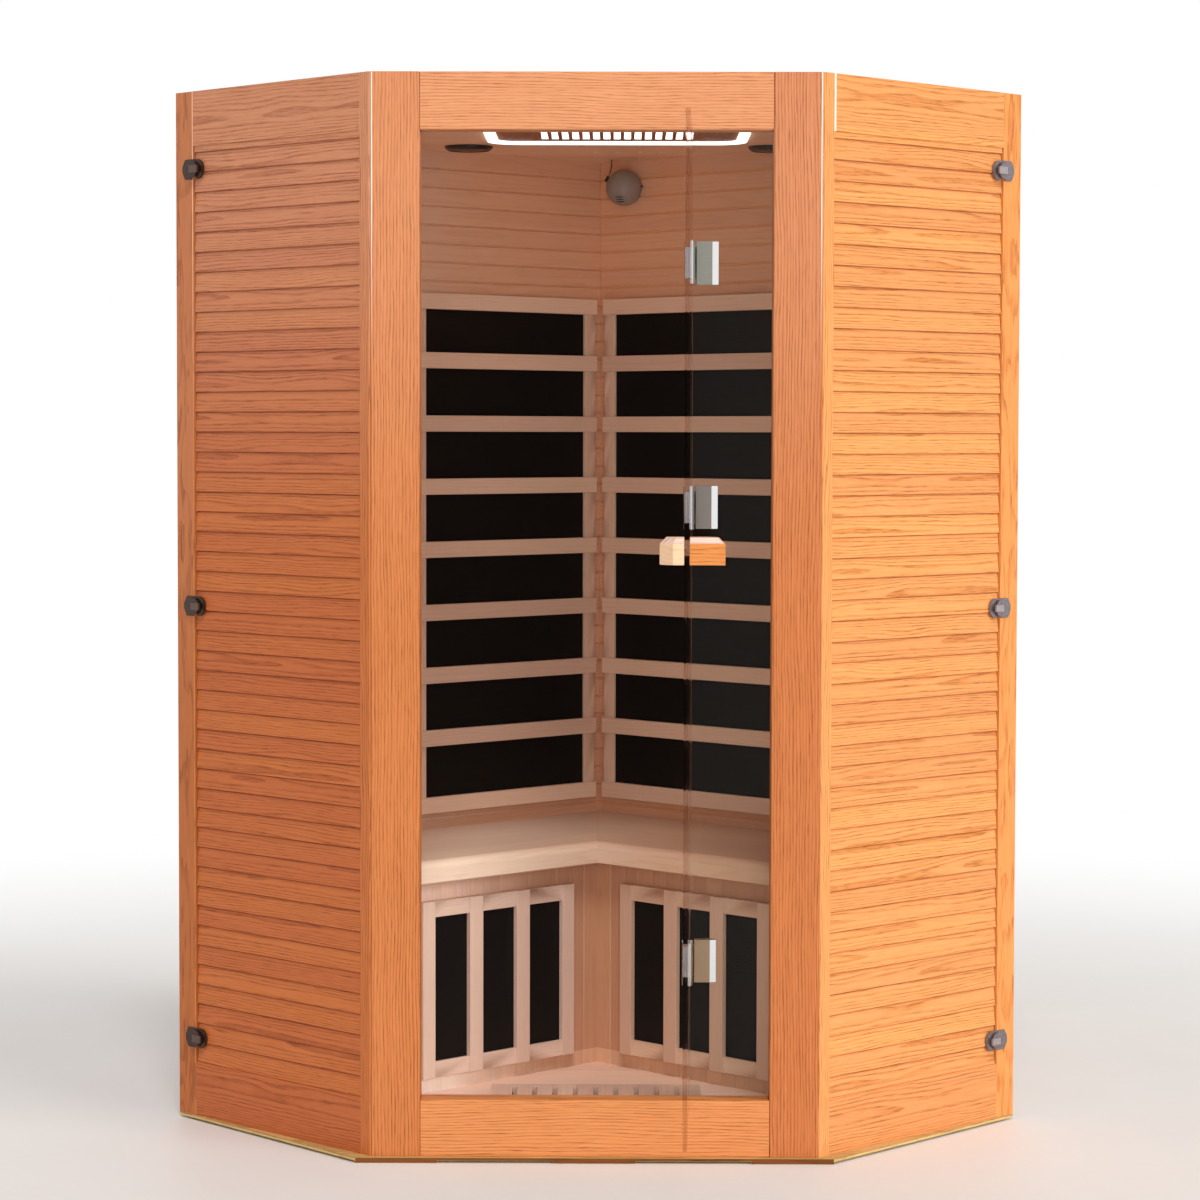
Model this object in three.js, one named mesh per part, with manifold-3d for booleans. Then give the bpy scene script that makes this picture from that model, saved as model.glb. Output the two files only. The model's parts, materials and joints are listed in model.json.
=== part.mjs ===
// Corner infrared sauna cabin: a five-sided timber room with a glass door, a bench and carbon heaters.
// Millimetres, +Z up, the front faces -Y, origin on the floor under the middle of the plan.
import * as THREE from 'three';
import { mergeVertices } from 'three/addons/utils/BufferGeometryUtils.js';
import Module from 'manifold-3d';

// Room shell: two square back walls, two slatted side panels at 45 degrees, one front frame
const BACK_WALL_LENGTH = 1100;
const FRONT_WIDTH = 785;
const WALL_HEIGHT = 1890;
const PANEL_THICKNESS = 50;
const BOARD_PITCH = 36.5;
const GROOVE_WIDTH = 4;
const GROOVE_DEPTH = 2.5;
const ARRIS = 2;
const SEAT_GAP = 0.3;

// Base plate on its runners, floor and foot heater
const RUNNER_HEIGHT = 4;
const RUNNER_WIDTH = 145;
const BASE_PLATE_THICKNESS = 6;
const FRONT_LIP = 10;
const CORNER_FLARE = 27;
const FLOOR_THICKNESS = 50;
const GRILLE_WIDTH = 384;
const GRILLE_SLOTS = 9;
const GRILLE_PITCH = 37;
const GRILLE_SLOT = 9;
const GRILLE_LENGTH = 260;
const GRILLE_BORDER = 24;
const GRILLE_THICKNESS = 16;
const GRILLE_SETBACK = 10;
const GRILLE_BEARING = 12;
const FOOT_HEATER_THICKNESS = 6;

// Side panels
const SIDE_STILE_WIDTH = 27;
const SIDE_TOP_RAIL = 100;
const SIDE_BOTTOM_RAIL = 100;
const SLAT_POCKET = 14;
const SLAT_RECESS = 2;
const SLAT_TILT = 5;
const SLAT_SHADOW_HEIGHT = 3;
const SLAT_SHADOW_DEPTH = 4;

// Front frame and glass
const POST_WIDTH = 86.5;
const HEADER_HEIGHT = 100;
const THRESHOLD_HEIGHT = 100;
const GLASS_THICKNESS = 8;
const GLASS_REBATE = 8;
const HINGE_LINE_X = 162;
const DOOR_OPEN_ANGLE = 88.4;
const DOOR_GAP = 4;

// Glass hinges and door handle
const HINGE_HEIGHT = 75;
const HINGE_REACH = 50;
const HINGE_PLATE = 5;
const HINGE_BEVEL = 11;
const HINGE_BEVEL_DROP = 3.5;
const HINGE_EDGE_GAP = 5;
const HINGE_LEAF_START = 11.5;
const HINGE_CORE_HEIGHT = 54;
const HINGE_CORE_END = 19;
const KNUCKLE_RADIUS = 8.5;
const KNUCKLE_HEIGHT = 24;
const HINGE_PIN_RADIUS = 3;
const TOP_HINGE_DROP = 228;
const MIDDLE_HINGE_DROP = 651.5;
const BOTTOM_HINGE_RISE = 243.6;
const HANDLE_HEIGHT = 45;
const HANDLE_LENGTH = 50;
const HANDLE_OUTER_DEPTH = 58;
const HANDLE_INNER_DEPTH = 40;
const HANDLE_BEVEL = 11;
const HANDLE_CORNER = 22;
const HANDLE_FROM_EDGE = 45;
const HANDLE_RISE = 977;
const HANDLE_STUD_RADIUS = 5;

// Back heaters with their slatted guards
const HEATER_WIDTH = 434;
const HEATER_THICKNESS = 8;
const GUARD_STILE_WIDTH = 29;
const GUARD_RAIL_WIDTH = 31.5;
const GUARD_STILE_DEPTH = 14;
const GUARD_RAIL_DEPTH = 20;
const GUARD_CORNER_GAP = 27;
const GUARD_ABOVE_BENCH = 33;
const GUARD_HEIGHT = 1021;
const GUARD_TOP_OPENING = 84;
const GUARD_PITCH = 123.6;
const GUARD_MIDDLE_RAILS = 7;

// Bench and its heated skirt
const BENCH_DEPTH = 372;
const BENCH_THICKNESS = 42;
const BENCH_TOP_ABOVE_FLOOR = 436;
const BENCH_NOSE_RADIUS = 16;
const SKIRT_SETBACK = 44;
const SKIRT_THICKNESS = 15;
const SKIRT_FRAME_CORNER_GAP = 78.5;
const SKIRT_FRAME_RISE = 28;
const SKIRT_FRAME_HEIGHT = 328;
const SKIRT_FRAME_DEPTH = 17;
const SKIRT_RAIL = 30;
const SKIRT_END_STILE = 30.5;
const SKIRT_WINDOW_WIDTH = 86.5;
const SKIRT_MIDDLE_STILE = 33.2;
const SKIRT_STILE_STEP = 3;
const SKIRT_WINDOWS = 3;
const SKIRT_HEATER_THICKNESS = 6;

// Ceiling, light, speakers, vents and power unit
const CEILING_DROP = 70;
const CEILING_THICKNESS = 22;
const LIGHT_CENTRE_X = 35;
const LIGHT_CENTRE_SETBACK = 355;
const LIGHT_SIZE = 490;
const LIGHT_CORNER_RADIUS = 60;
const LIGHT_BAND = 20;
const LIGHT_BAND_DROP = 5;
const LIGHT_POCKET = 12;
const LIGHT_TRAY = 8;
const LOUVRE_WIDTH = 322;
const LOUVRE_LENGTH = 330;
const LOUVRE_STEP = 3;
const LOUVRE_SLOTS = 15;
const LOUVRE_PITCH = 19.3;
const LOUVRE_SLOT_WIDTH = 12.5;
const LOUVRE_END_BORDER = 27;
const SPEAKER_RADIUS = 47;
const SPEAKER_BASKET_RADIUS = 38;
const SPEAKER_BASKET_HEIGHT = 34;
const SPEAKER_DROP = 11;
const SPEAKER_DOME_RISE = 5;
const SPEAKER_RIM = 2;
const SPEAKER_WALL_CLEARANCE = 1.4;
const SPEAKER_LEFT_X = -252;
const SPEAKER_RIGHT_X = 334;
const VENT_COUNT = 5;
const VENT_PITCH = 42.3;
const VENT_RADIUS = 6;
const VENT_FROM_CORNER = 275;
const POWER_BOX_WIDTH = 320;
const POWER_BOX_LENGTH = 190;
const POWER_BOX_HEIGHT = 46;
const POWER_BOX_SETBACK = 230;
const POWER_BOX_CORNER = 12;
const POWER_VENT_COUNT = 9;
const POWER_VENT_PITCH = 23;
const POWER_VENT_WIDTH = 6;
const POWER_VENT_DEPTH = 5;
const POWER_VENT_HEIGHT = 23;
const GLAND_RADIUS = 9;
const GLAND_LENGTH = 14;

// Ioniser on the right back wall, control panel on the right side panel
const IONISER_RADIUS = 36.5;
const IONISER_STANDOFF = 26;
const IONISER_FROM_CORNER = 94;
const IONISER_BELOW_CEILING = 56;
const IONISER_SLIT_COUNT = 3;
const IONISER_SLIT_PITCH = 4.4;
const IONISER_SLIT_LENGTH = 26;
const IONISER_SLIT_HEIGHT = 1;
const IONISER_SLIT_DEPTH = 12;
const IONISER_SLIT_DROP = 15;
const IONISER_KNOB_RADIUS = 2.5;
const IONISER_KNOB_LENGTH = 4;
const PLUG_RADIUS = 4;
const PLUG_START = 6;
const PLUG_LENGTH = 14;
const PLUG_RISE = 12;
const LEAD_RADIUS = 1.3;
const LEAD_SWAY = 3;
const LEAD_STANDOFF = 6;
const CONTROL_WIDTH = 170;
const CONTROL_HEIGHT = 110;
const CONTROL_THICKNESS = 12;
const CONTROL_CORNER = 10;
const CONTROL_DISPLAY_WIDTH = 116;
const CONTROL_DISPLAY_HEIGHT = 38;
const CONTROL_DISPLAY_DEPTH = 2;
const CONTROL_DISPLAY_RISE = 21;
const CONTROL_KEYS = 6;
const CONTROL_KEY_PITCH = 24;
const CONTROL_KEY_RADIUS = 8.5;
const CONTROL_KEY_HEIGHT = 1.5;
const CONTROL_KEY_DROP = 26;
const CONTROL_RISE = 1240;

// Turn latches that pull the side panels onto the back walls
const LATCH_HEIGHT = 36.6;
const LATCH_BODY_LENGTH = 32;
const LATCH_KEEPER_LENGTH = 28;
const LATCH_KEEPER_TAPER = 8;
const LATCH_KEEPER_TIP = 10;
const LATCH_PLATE = 2.5;
const LATCH_PIVOT = 11;
const LATCH_BOSS_RADIUS = 8;
const LATCH_BOSS_HEIGHT = 2.2;
const LATCH_PIN_RADIUS = 3;
const CAM_RADIUS = 15.5;
const CAM_OFFSET = 6;
const CAM_THICKNESS = 3.2;
const CAM_TAB_LENGTH = 24;
const CAM_TAB_WIDTH = 13.2;
const CAM_TAB_HEIGHT = 3;
const CAM_SCORE_WIDTH = 1.5;
const CAM_SCORE_DEPTH = 1.2;
const CATCH_RADIUS = 16;
const CATCH_WIDTH = 3;
const CATCH_ANGLE = 22;
const LATCH_TOP_DROP = 142;
const LATCH_MIDDLE_RISE = 947;
const LATCH_BOTTOM_RISE = 145;

// Plan and levels that follow from the sizes above
const diagonal = BACK_WALL_LENGTH / Math.SQRT2;
const halfFront = FRONT_WIDTH / 2;
const sideDepth = diagonal - halfFront;
const sideLength = sideDepth * Math.SQRT2;
const frontY = -(sideDepth + diagonal) / 2;
const rearY = -frontY;
const innerCornerY = rearY - PANEL_THICKNESS * Math.SQRT2;
const mitre = Math.tan(Math.PI / 8);
const baseTop = RUNNER_HEIGHT + BASE_PLATE_THICKNESS;
const wallTop = baseTop + WALL_HEIGHT;
const floorTop = baseTop + FLOOR_THICKNESS;
const benchTop = floorTop + BENCH_TOP_ABOVE_FLOOR;
const ceilingZ = wallTop - CEILING_DROP;
const innerWallLength = BACK_WALL_LENGTH - 2 * PANEL_THICKNESS;
const openingHalf = halfFront - POST_WIDTH;
const openingBottom = baseTop + THRESHOLD_HEIGHT;
const openingTop = wallTop - HEADER_HEIGHT;
const glassY = frontY + PANEL_THICKNESS / 2;

const wasm = await Module();
wasm.setup();

// Solid of a closed geometry, ready to be joined or cut
function solidOf(geometry) {
  const bare = geometry.clone();
  bare.deleteAttribute('normal');
  bare.deleteAttribute('uv');
  const merged = mergeVertices(bare, 1e-4);
  return new wasm.Manifold(new wasm.Mesh({
    numProp: 3,
    vertProperties: new Float32Array(merged.attributes.position.array),
    triVerts: new Uint32Array(merged.index.array),
  }));
}

function geometryOf(solid) {
  const mesh = solid.getMesh();
  const geometry = new THREE.BufferGeometry();
  geometry.setAttribute('position', new THREE.BufferAttribute(new Float32Array(mesh.vertProperties), 3));
  geometry.setIndex(new THREE.BufferAttribute(new Uint32Array(mesh.triVerts), 1));
  geometry.computeVertexNormals();
  return geometry;
}

function join(...geometries) {
  return geometryOf(geometries.map(solidOf).reduce((whole, next) => whole.add(next)));
}

function cut(geometry, ...tools) {
  return geometryOf(tools.map(solidOf).reduce((whole, tool) => whole.subtract(tool), solidOf(geometry)));
}

function overlap(first, second) {
  return geometryOf(solidOf(first).intersect(solidOf(second)));
}

// Mirror image across X = 0, with its triangles turned so that faces still point out
function mirrored(geometry) {
  const copy = geometry.clone().scale(-1, 1, 1);
  const index = copy.index.array;
  for (let i = 0; i < index.length; i += 3) {
    [index[i + 1], index[i + 2]] = [index[i + 2], index[i + 1]];
  }
  copy.computeVertexNormals();
  return copy;
}

function box(x0, x1, y0, y1, z0, z1) {
  const geometry = new THREE.BoxGeometry(x1 - x0, y1 - y0, z1 - z0);
  return geometry.translate((x0 + x1) / 2, (y0 + y1) / 2, (z0 + z1) / 2);
}

function shapeOf(points) {
  return new THREE.Shape(points.map(([x, y]) => new THREE.Vector2(x, y)));
}

// Outline in X and Y, pulled up from z0 to z1
function prism(outline, z0, z1) {
  const shape = outline instanceof THREE.Shape ? outline : shapeOf(outline);
  const options = { depth: z1 - z0, bevelEnabled: false, curveSegments: 4 };
  return new THREE.ExtrudeGeometry(shape, options).translate(0, 0, z0);
}

// Outline in X and Z, pulled along Y from y0 to y1
function slab(outline, y0, y1) {
  return prism(outline, 0, y1 - y0).rotateX(Math.PI / 2).translate(0, y1, 0);
}

// Outline in Y and Z, pulled along X from x0 to x1
const alongX = new THREE.Matrix4().makeBasis(
  new THREE.Vector3(0, 1, 0), new THREE.Vector3(0, 0, 1), new THREE.Vector3(1, 0, 0));

function moulding(outline, x0, x1) {
  return prism(outline, 0, x1 - x0).applyMatrix4(alongX).translate(x0, 0, 0);
}

function postRod(radius, z0, z1, x = 0, y = 0, sides = 16) {
  const rod = new THREE.CylinderGeometry(radius, radius, z1 - z0, sides);
  return rod.rotateX(Math.PI / 2).translate(x, y, (z0 + z1) / 2);
}

function pegRod(radius, y0, y1, x, z, sides = 16) {
  return new THREE.CylinderGeometry(radius, radius, y1 - y0, sides).translate(x, (y0 + y1) / 2, z);
}

function roundedRectangle(width, length, radius, x = 0, y = 0) {
  const [w, l] = [width / 2, length / 2];
  const shape = new THREE.Shape();
  shape.absarc(x + w - radius, y + l - radius, radius, 0, Math.PI / 2);
  shape.absarc(x - w + radius, y + l - radius, radius, Math.PI / 2, Math.PI);
  shape.absarc(x - w + radius, y - l + radius, radius, Math.PI, Math.PI * 1.5);
  shape.absarc(x + w - radius, y - l + radius, radius, Math.PI * 1.5, Math.PI * 2);
  return shape;
}

// Sector of a ring about the origin, from one radius to the next
function ringSector(inner, outer, middle, half) {
  const shape = new THREE.Shape();
  shape.absarc(0, 0, outer, middle - half, middle + half, false);
  shape.absarc(0, 0, inner, middle + half, middle - half, true);
  return shape;
}

// Left back wall: x along the wall from the inner rear corner, y into the room.
// Left side panel: x from the outer corner to the front corner, y into the room.
const half = Math.SQRT1_2;
const up = new THREE.Vector3(0, 0, 1);
const leftWall = new THREE.Matrix4()
  .makeBasis(new THREE.Vector3(-half, -half, 0), new THREE.Vector3(half, -half, 0), up)
  .setPosition(0, innerCornerY, 0);
const leftSide = new THREE.Matrix4()
  .makeBasis(new THREE.Vector3(half, -half, 0), new THREE.Vector3(half, half, 0), up)
  .setPosition(-diagonal, frontY + sideDepth, 0);

function finish(colour, roughness, metalness = 0) {
  return new THREE.MeshStandardMaterial({ color: colour, roughness, metalness });
}

const stainedWood = finish(0xd9803f, 0.45);
const paleWood = finish(0xc79a7c, 0.6);
const plywood = finish(0xb08a55, 0.7);
const heaterBlack = finish(0x141414, 0.7);
const clearGlass = finish(0xdfe8e6, 0.05);
const satinAluminium = finish(0xb4b4b0, 0.35, 1);
const darkBronze = finish(0x4a4340, 0.45, 0.9);
const lampWhite = finish(0xffffff, 0.5);
const speakerBlack = finish(0x1a1a1a, 0.6);
const greyPlastic = finish(0x8f8680, 0.5);
const paintedSteel = finish(0xc9c9c6, 0.4, 0.6);

const cabin = new THREE.Group();
cabin.name = 'infrared_sauna_cabin';

function add(name, geometry, material, parent = cabin) {
  const mesh = new THREE.Mesh(geometry, material);
  mesh.name = name;
  parent.add(mesh);
}

function addPair(name, geometry, material) {
  add(`${name}_left`, geometry, material);
  add(`${name}_right`, mirrored(geometry), material);
}

// Five-sided plan, moved in from the outer faces by the inset
function cabinPlan(inset) {
  const front = [halfFront - inset * mitre, frontY + inset];
  const outer = [diagonal - inset * Math.SQRT2, frontY + sideDepth];
  const rear = [0, rearY - inset * Math.SQRT2];
  return [[-front[0], front[1]], front, outer, rear, [-outer[0], outer[1]]];
}

// Base plate: flared at the front corners, with two side runners and one in the middle
function basePlate() {
  const flareX = halfFront + CORNER_FLARE;
  const lipY = frontY - FRONT_LIP;
  const plan = [[-flareX, lipY], [flareX, lipY], [diagonal, frontY + sideDepth], [0, rearY],
    [-diagonal, frontY + sideDepth]];
  const plate = prism(plan, RUNNER_HEIGHT, baseTop);
  const lower = prism(plan, 0, baseTop - BASE_PLATE_THICKNESS / 2);
  const strips = [-flareX + RUNNER_WIDTH / 2, 0, flareX - RUNNER_WIDTH / 2].map((x) => overlap(lower,
    box(x - RUNNER_WIDTH / 2, x + RUNNER_WIDTH / 2, lipY - 1, rearY + 1, -1, baseTop)));
  return join(plate, ...strips);
}
add('base_plate', basePlate(), plywood);

// Floor with a pocket for the foot heater, and the slatted grille that lies over it
const grilleFront = frontY + PANEL_THICKNESS + GRILLE_SETBACK;
const footHeater = {
  x: GRILLE_WIDTH / 2 - GRILLE_BEARING,
  y0: grilleFront + GRILLE_BEARING,
  y1: grilleFront + GRILLE_LENGTH - GRILLE_BEARING,
};
const pocketBottom = floorTop - FOOT_HEATER_THICKNESS - SEAT_GAP;
add('floor_panel', cut(
  prism(cabinPlan(PANEL_THICKNESS + SEAT_GAP), baseTop, floorTop),
  box(-footHeater.x, footHeater.x, footHeater.y0, footHeater.y1, pocketBottom, floorTop + 1),
), paleWood);
add('floor_heater', box(
  -footHeater.x + SEAT_GAP, footHeater.x - SEAT_GAP, footHeater.y0 + SEAT_GAP, footHeater.y1 - SEAT_GAP,
  pocketBottom, floorTop - SEAT_GAP), heaterBlack);

function floorGrille() {
  const outline = roundedRectangle(GRILLE_WIDTH, GRILLE_LENGTH, ARRIS, 0, grilleFront + GRILLE_LENGTH / 2);
  const slots = [];
  for (let i = 0; i < GRILLE_SLOTS; i += 1) {
    const x = (i - (GRILLE_SLOTS - 1) / 2) * GRILLE_PITCH;
    slots.push(box(x - GRILLE_SLOT / 2, x + GRILLE_SLOT / 2, grilleFront + GRILLE_BORDER,
      grilleFront + GRILLE_LENGTH - GRILLE_BORDER, floorTop - 1, floorTop + GRILLE_THICKNESS + 1));
  }
  return cut(prism(outline, floorTop, floorTop + GRILLE_THICKNESS), ...slots);
}
add('floor_grille', floorGrille(), paleWood);

// V-shaped joints between horizontal boards on a face at y, cut towards lower y
function boardGrooves(y, x0, x1) {
  const grooves = [];
  const slope = GROOVE_WIDTH / 2 / GROOVE_DEPTH;
  for (let z = ceilingZ - BOARD_PITCH; z > floorTop; z -= BOARD_PITCH) {
    const mouth = (GROOVE_DEPTH + 1) * slope;
    grooves.push(moulding([[y - GROOVE_DEPTH, z], [y + 1, z - mouth], [y + 1, z + mouth]], x0, x1));
  }
  return grooves;
}

// Back walls: mitred at the rear corner, boarded inside, square at the outer end
function backWall() {
  const end = BACK_WALL_LENGTH - PANEL_THICKNESS;
  const panel = prism([[-PANEL_THICKNESS + SEAT_GAP, -PANEL_THICKNESS], [end, -PANEL_THICKNESS],
    [end, 0], [SEAT_GAP, 0]], baseTop, wallTop);
  return cut(panel, ...boardGrooves(0, -PANEL_THICKNESS, innerWallLength)).applyMatrix4(leftWall);
}
addPair('back_wall', backWall(), paleWood);

// Side panels: stile, rails and boarded inner lining in one, with a pocket for the outer slats
const sideStart = PANEL_THICKNESS + SEAT_GAP;
const slatEnd = sideLength - SIDE_STILE_WIDTH;
const slatBottom = baseTop + SIDE_BOTTOM_RAIL;
const slatTop = wallTop - SIDE_TOP_RAIL;

function sidePanel() {
  const corner = sideLength - SEAT_GAP;
  const plan = [[sideStart, 0], [corner - ARRIS, 0], [corner - ARRIS * mitre, ARRIS],
    [corner - PANEL_THICKNESS * mitre, PANEL_THICKNESS], [sideStart, PANEL_THICKNESS]];
  const pocket = box(sideStart - 1, slatEnd, -1, SLAT_POCKET, slatBottom, slatTop);
  const grooves = boardGrooves(PANEL_THICKNESS, sideStart - 1, sideLength);
  return cut(prism(plan, baseTop, wallTop), pocket, ...grooves).applyMatrix4(leftSide);
}
addPair('side_panel', sidePanel(), stainedWood);

// Lapped slats: each leans back towards its top, with a shadow gap under the next
function sideSlats() {
  const back = SLAT_POCKET - SEAT_GAP;
  const outline = [[back, slatBottom + SEAT_GAP]];
  const leanBack = SLAT_RECESS + SLAT_TILT;
  const shadow = leanBack + SLAT_SHADOW_DEPTH;
  const top = slatTop - SEAT_GAP;
  let z = slatBottom + SEAT_GAP;
  for (; z + BOARD_PITCH < top; z += BOARD_PITCH) {
    const lap = z + BOARD_PITCH - SLAT_SHADOW_HEIGHT;
    outline.push([SLAT_RECESS, z], [leanBack, lap], [shadow, lap], [shadow, z + BOARD_PITCH]);
  }
  outline.push([SLAT_RECESS, z], [SLAT_RECESS, top], [back, top]);
  const boards = moulding(outline, sideStart + SEAT_GAP, slatEnd - SEAT_GAP);
  return geometryOf(solidOf(boards)).applyMatrix4(leftSide);
}
addPair('side_slats', sideSlats(), stainedWood);

// Front posts run full height and are mitred to the side panels
function frontPost() {
  const corner = halfFront - SEAT_GAP;
  const back = frontY + PANEL_THICKNESS;
  return prism([[-corner + ARRIS, frontY], [-openingHalf - ARRIS, frontY], [-openingHalf, frontY + ARRIS],
    [-openingHalf, back], [-corner + PANEL_THICKNESS * mitre, back],
    [-corner + ARRIS * mitre, frontY + ARRIS]], baseTop, wallTop);
}
const glassFront = glassY - GLASS_THICKNESS / 2;
const glassBack = glassY + GLASS_THICKNESS / 2;
const rebateEnd = openingHalf + GLASS_REBATE;
const rebateStart = HINGE_LINE_X;
const glassRebate = box(rebateStart, rebateEnd, glassFront - SEAT_GAP, glassBack + SEAT_GAP,
  openingBottom - GLASS_REBATE, openingTop + GLASS_REBATE);
const leftPost = geometryOf(solidOf(frontPost()));
add('front_post_left', leftPost, stainedWood);
add('front_post_right', cut(mirrored(leftPost), glassRebate), stainedWood);

// Header and threshold stand between the posts and hold the fixed pane
const railEnd = openingHalf - SEAT_GAP;
const railBack = frontY + PANEL_THICKNESS;
const header = moulding([[frontY, wallTop], [frontY, openingTop + ARRIS], [frontY + ARRIS, openingTop],
  [railBack, openingTop], [railBack, wallTop]], -railEnd, railEnd);
const threshold = moulding([[frontY, baseTop], [railBack, baseTop], [railBack, openingBottom],
  [frontY + ARRIS, openingBottom], [frontY, openingBottom - ARRIS]], -railEnd, railEnd);
add('front_header', cut(header, glassRebate), stainedWood);
add('front_threshold', cut(threshold, glassRebate), stainedWood);

// Fixed pane: in rebates on three sides, notched for the hinges on the fourth
const hingeLevels = {
  top: openingTop - TOP_HINGE_DROP,
  middle: openingTop - MIDDLE_HINGE_DROP,
  bottom: openingBottom + BOTTOM_HINGE_RISE,
};
const notchDepth = HINGE_CORE_END + SEAT_GAP;
const notchHalf = HINGE_CORE_HEIGHT / 2 + SEAT_GAP;

// Pane outline in X and Z, from the hinge edge to the far edge, with a notch at each hinge
function pane(edge, far, bottom, top, side) {
  const points = [[side * edge, bottom]];
  for (const level of [hingeLevels.bottom, hingeLevels.middle, hingeLevels.top]) {
    points.push([side * edge, level - notchHalf], [side * notchDepth, level - notchHalf],
      [side * notchDepth, level + notchHalf], [side * edge, level + notchHalf]);
  }
  points.push([side * edge, top], [side * far, top], [side * far, bottom]);
  return slab(points, -GLASS_THICKNESS / 2, GLASS_THICKNESS / 2);
}

const fixedSide = new THREE.Group();
fixedSide.position.set(HINGE_LINE_X, glassY, 0);
cabin.add(fixedSide);
const fixedPane = pane(HINGE_EDGE_GAP, rebateEnd - SEAT_GAP - HINGE_LINE_X,
  openingBottom - GLASS_REBATE + SEAT_GAP, openingTop + GLASS_REBATE - SEAT_GAP, 1);
add('fixed_glass', geometryOf(solidOf(fixedPane)), clearGlass, fixedSide);

// Door: drawn closed, towards -X from the hinge line, then swung open to the front
const door = new THREE.Group();
door.position.copy(fixedSide.position);
door.rotation.z = THREE.MathUtils.degToRad(DOOR_OPEN_ANGLE);
cabin.add(door);
const doorFar = HINGE_LINE_X + openingHalf - DOOR_GAP;
const handleX = -(doorFar - HANDLE_FROM_EDGE);
const handleZ = openingBottom + HANDLE_RISE;
const studHole = pegRod(HANDLE_STUD_RADIUS + SEAT_GAP, -GLASS_THICKNESS, GLASS_THICKNESS, handleX, handleZ);
const doorPane = pane(HINGE_EDGE_GAP, doorFar, openingBottom + DOOR_GAP, openingTop - DOOR_GAP, -1);
add('door_glass', cut(doorPane, studHole), clearGlass, door);

// Clamp plates of one hinge half: both faces of the pane, bevelled at the far edge
function hingeLeaf(side) {
  const inner = GLASS_THICKNESS / 2 + SEAT_GAP;
  const outer = inner + HINGE_PLATE;
  const halfHeight = HINGE_HEIGHT / 2;
  const coreHalf = HINGE_CORE_HEIGHT / 2;
  const plates = [-1, 1].map((face) => prism([[HINGE_LEAF_START, inner], [HINGE_REACH, inner],
    [HINGE_REACH, outer - HINGE_BEVEL_DROP], [HINGE_REACH - HINGE_BEVEL, outer],
    [HINGE_LEAF_START, outer]].map(([x, y]) => [side * x, face * y]), -halfHeight, halfHeight));
  const coreStart = KNUCKLE_RADIUS + 1;
  const core = box(Math.min(side * coreStart, side * HINGE_CORE_END),
    Math.max(side * coreStart, side * HINGE_CORE_END), -inner - 1, inner + 1, -coreHalf, coreHalf);
  return [...plates, core];
}

// Knuckle between two heights, with the neck that ties it to its leaf
function knuckle(side, z0, z1) {
  const reach = side * (HINGE_LEAF_START + 1);
  const neck = box(Math.min(0, reach), Math.max(0, reach), -HINGE_PLATE, HINGE_PLATE, z0, z1);
  return [postRod(KNUCKLE_RADIUS, z0, z1), neck];
}

const knuckleHalf = KNUCKLE_HEIGHT / 2;
const knuckleEnd = HINGE_CORE_HEIGHT / 2;
const hingePin = postRod(HINGE_PIN_RADIUS, -knuckleEnd, knuckleEnd, 0, 0, 12);
const pinBore = postRod(HINGE_PIN_RADIUS + SEAT_GAP, -HINGE_HEIGHT, HINGE_HEIGHT, 0, 0, 12);
const fixedLeaf = join(...hingeLeaf(1), ...knuckle(1, -knuckleHalf, knuckleHalf), hingePin);
const doorLeaf = cut(join(
  ...hingeLeaf(-1),
  ...knuckle(-1, knuckleHalf + SEAT_GAP, knuckleEnd),
  ...knuckle(-1, -knuckleEnd, -knuckleHalf - SEAT_GAP),
), pinBore);
for (const [place, level] of Object.entries(hingeLevels)) {
  add(`hinge_fixed_${place}`, fixedLeaf.clone().translate(0, 0, level), satinAluminium, fixedSide);
  add(`hinge_door_${place}`, doorLeaf.clone().translate(0, 0, level), satinAluminium, door);
}

// Handle: two blocks bevelled round the top, clamped through the glass by the inner one's stud.
// Seen from above, the corner that the hand meets first is cut off.
function handleBlock(depth, face) {
  const [length, top] = [HANDLE_LENGTH / 2, HANDLE_HEIGHT / 2];
  const shape = shapeOf([[-length, -HANDLE_BEVEL], [length, -HANDLE_BEVEL], [length, depth],
    [-length + HANDLE_CORNER, depth], [-length, depth - HANDLE_CORNER]]);
  const options = { depth: HANDLE_HEIGHT, bevelSegments: 1, bevelSize: HANDLE_BEVEL,
    bevelThickness: HANDLE_BEVEL, bevelOffset: -HANDLE_BEVEL };
  const block = new THREE.ExtrudeGeometry(shape, options)
    .translate(0, 0, top - HANDLE_HEIGHT - HANDLE_BEVEL);
  const footed = overlap(block, box(-length - 1, length + 1, 0, depth + 1, -top, top + 1));
  const turned = face < 0 ? footed.rotateZ(Math.PI) : footed;
  return turned.translate(handleX, face * (GLASS_THICKNESS / 2 + SEAT_GAP), handleZ);
}
const stud = pegRod(HANDLE_STUD_RADIUS, -GLASS_THICKNESS, GLASS_THICKNESS, handleX, handleZ);
const studSocket = pegRod(HANDLE_STUD_RADIUS + SEAT_GAP, -GLASS_THICKNESS - 1, 0, handleX, handleZ);
add('handle_outer', cut(handleBlock(HANDLE_OUTER_DEPTH, -1), studSocket), stainedWood, door);
add('handle_inner', join(handleBlock(HANDLE_INNER_DEPTH, 1), stud), paleWood, door);

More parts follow.
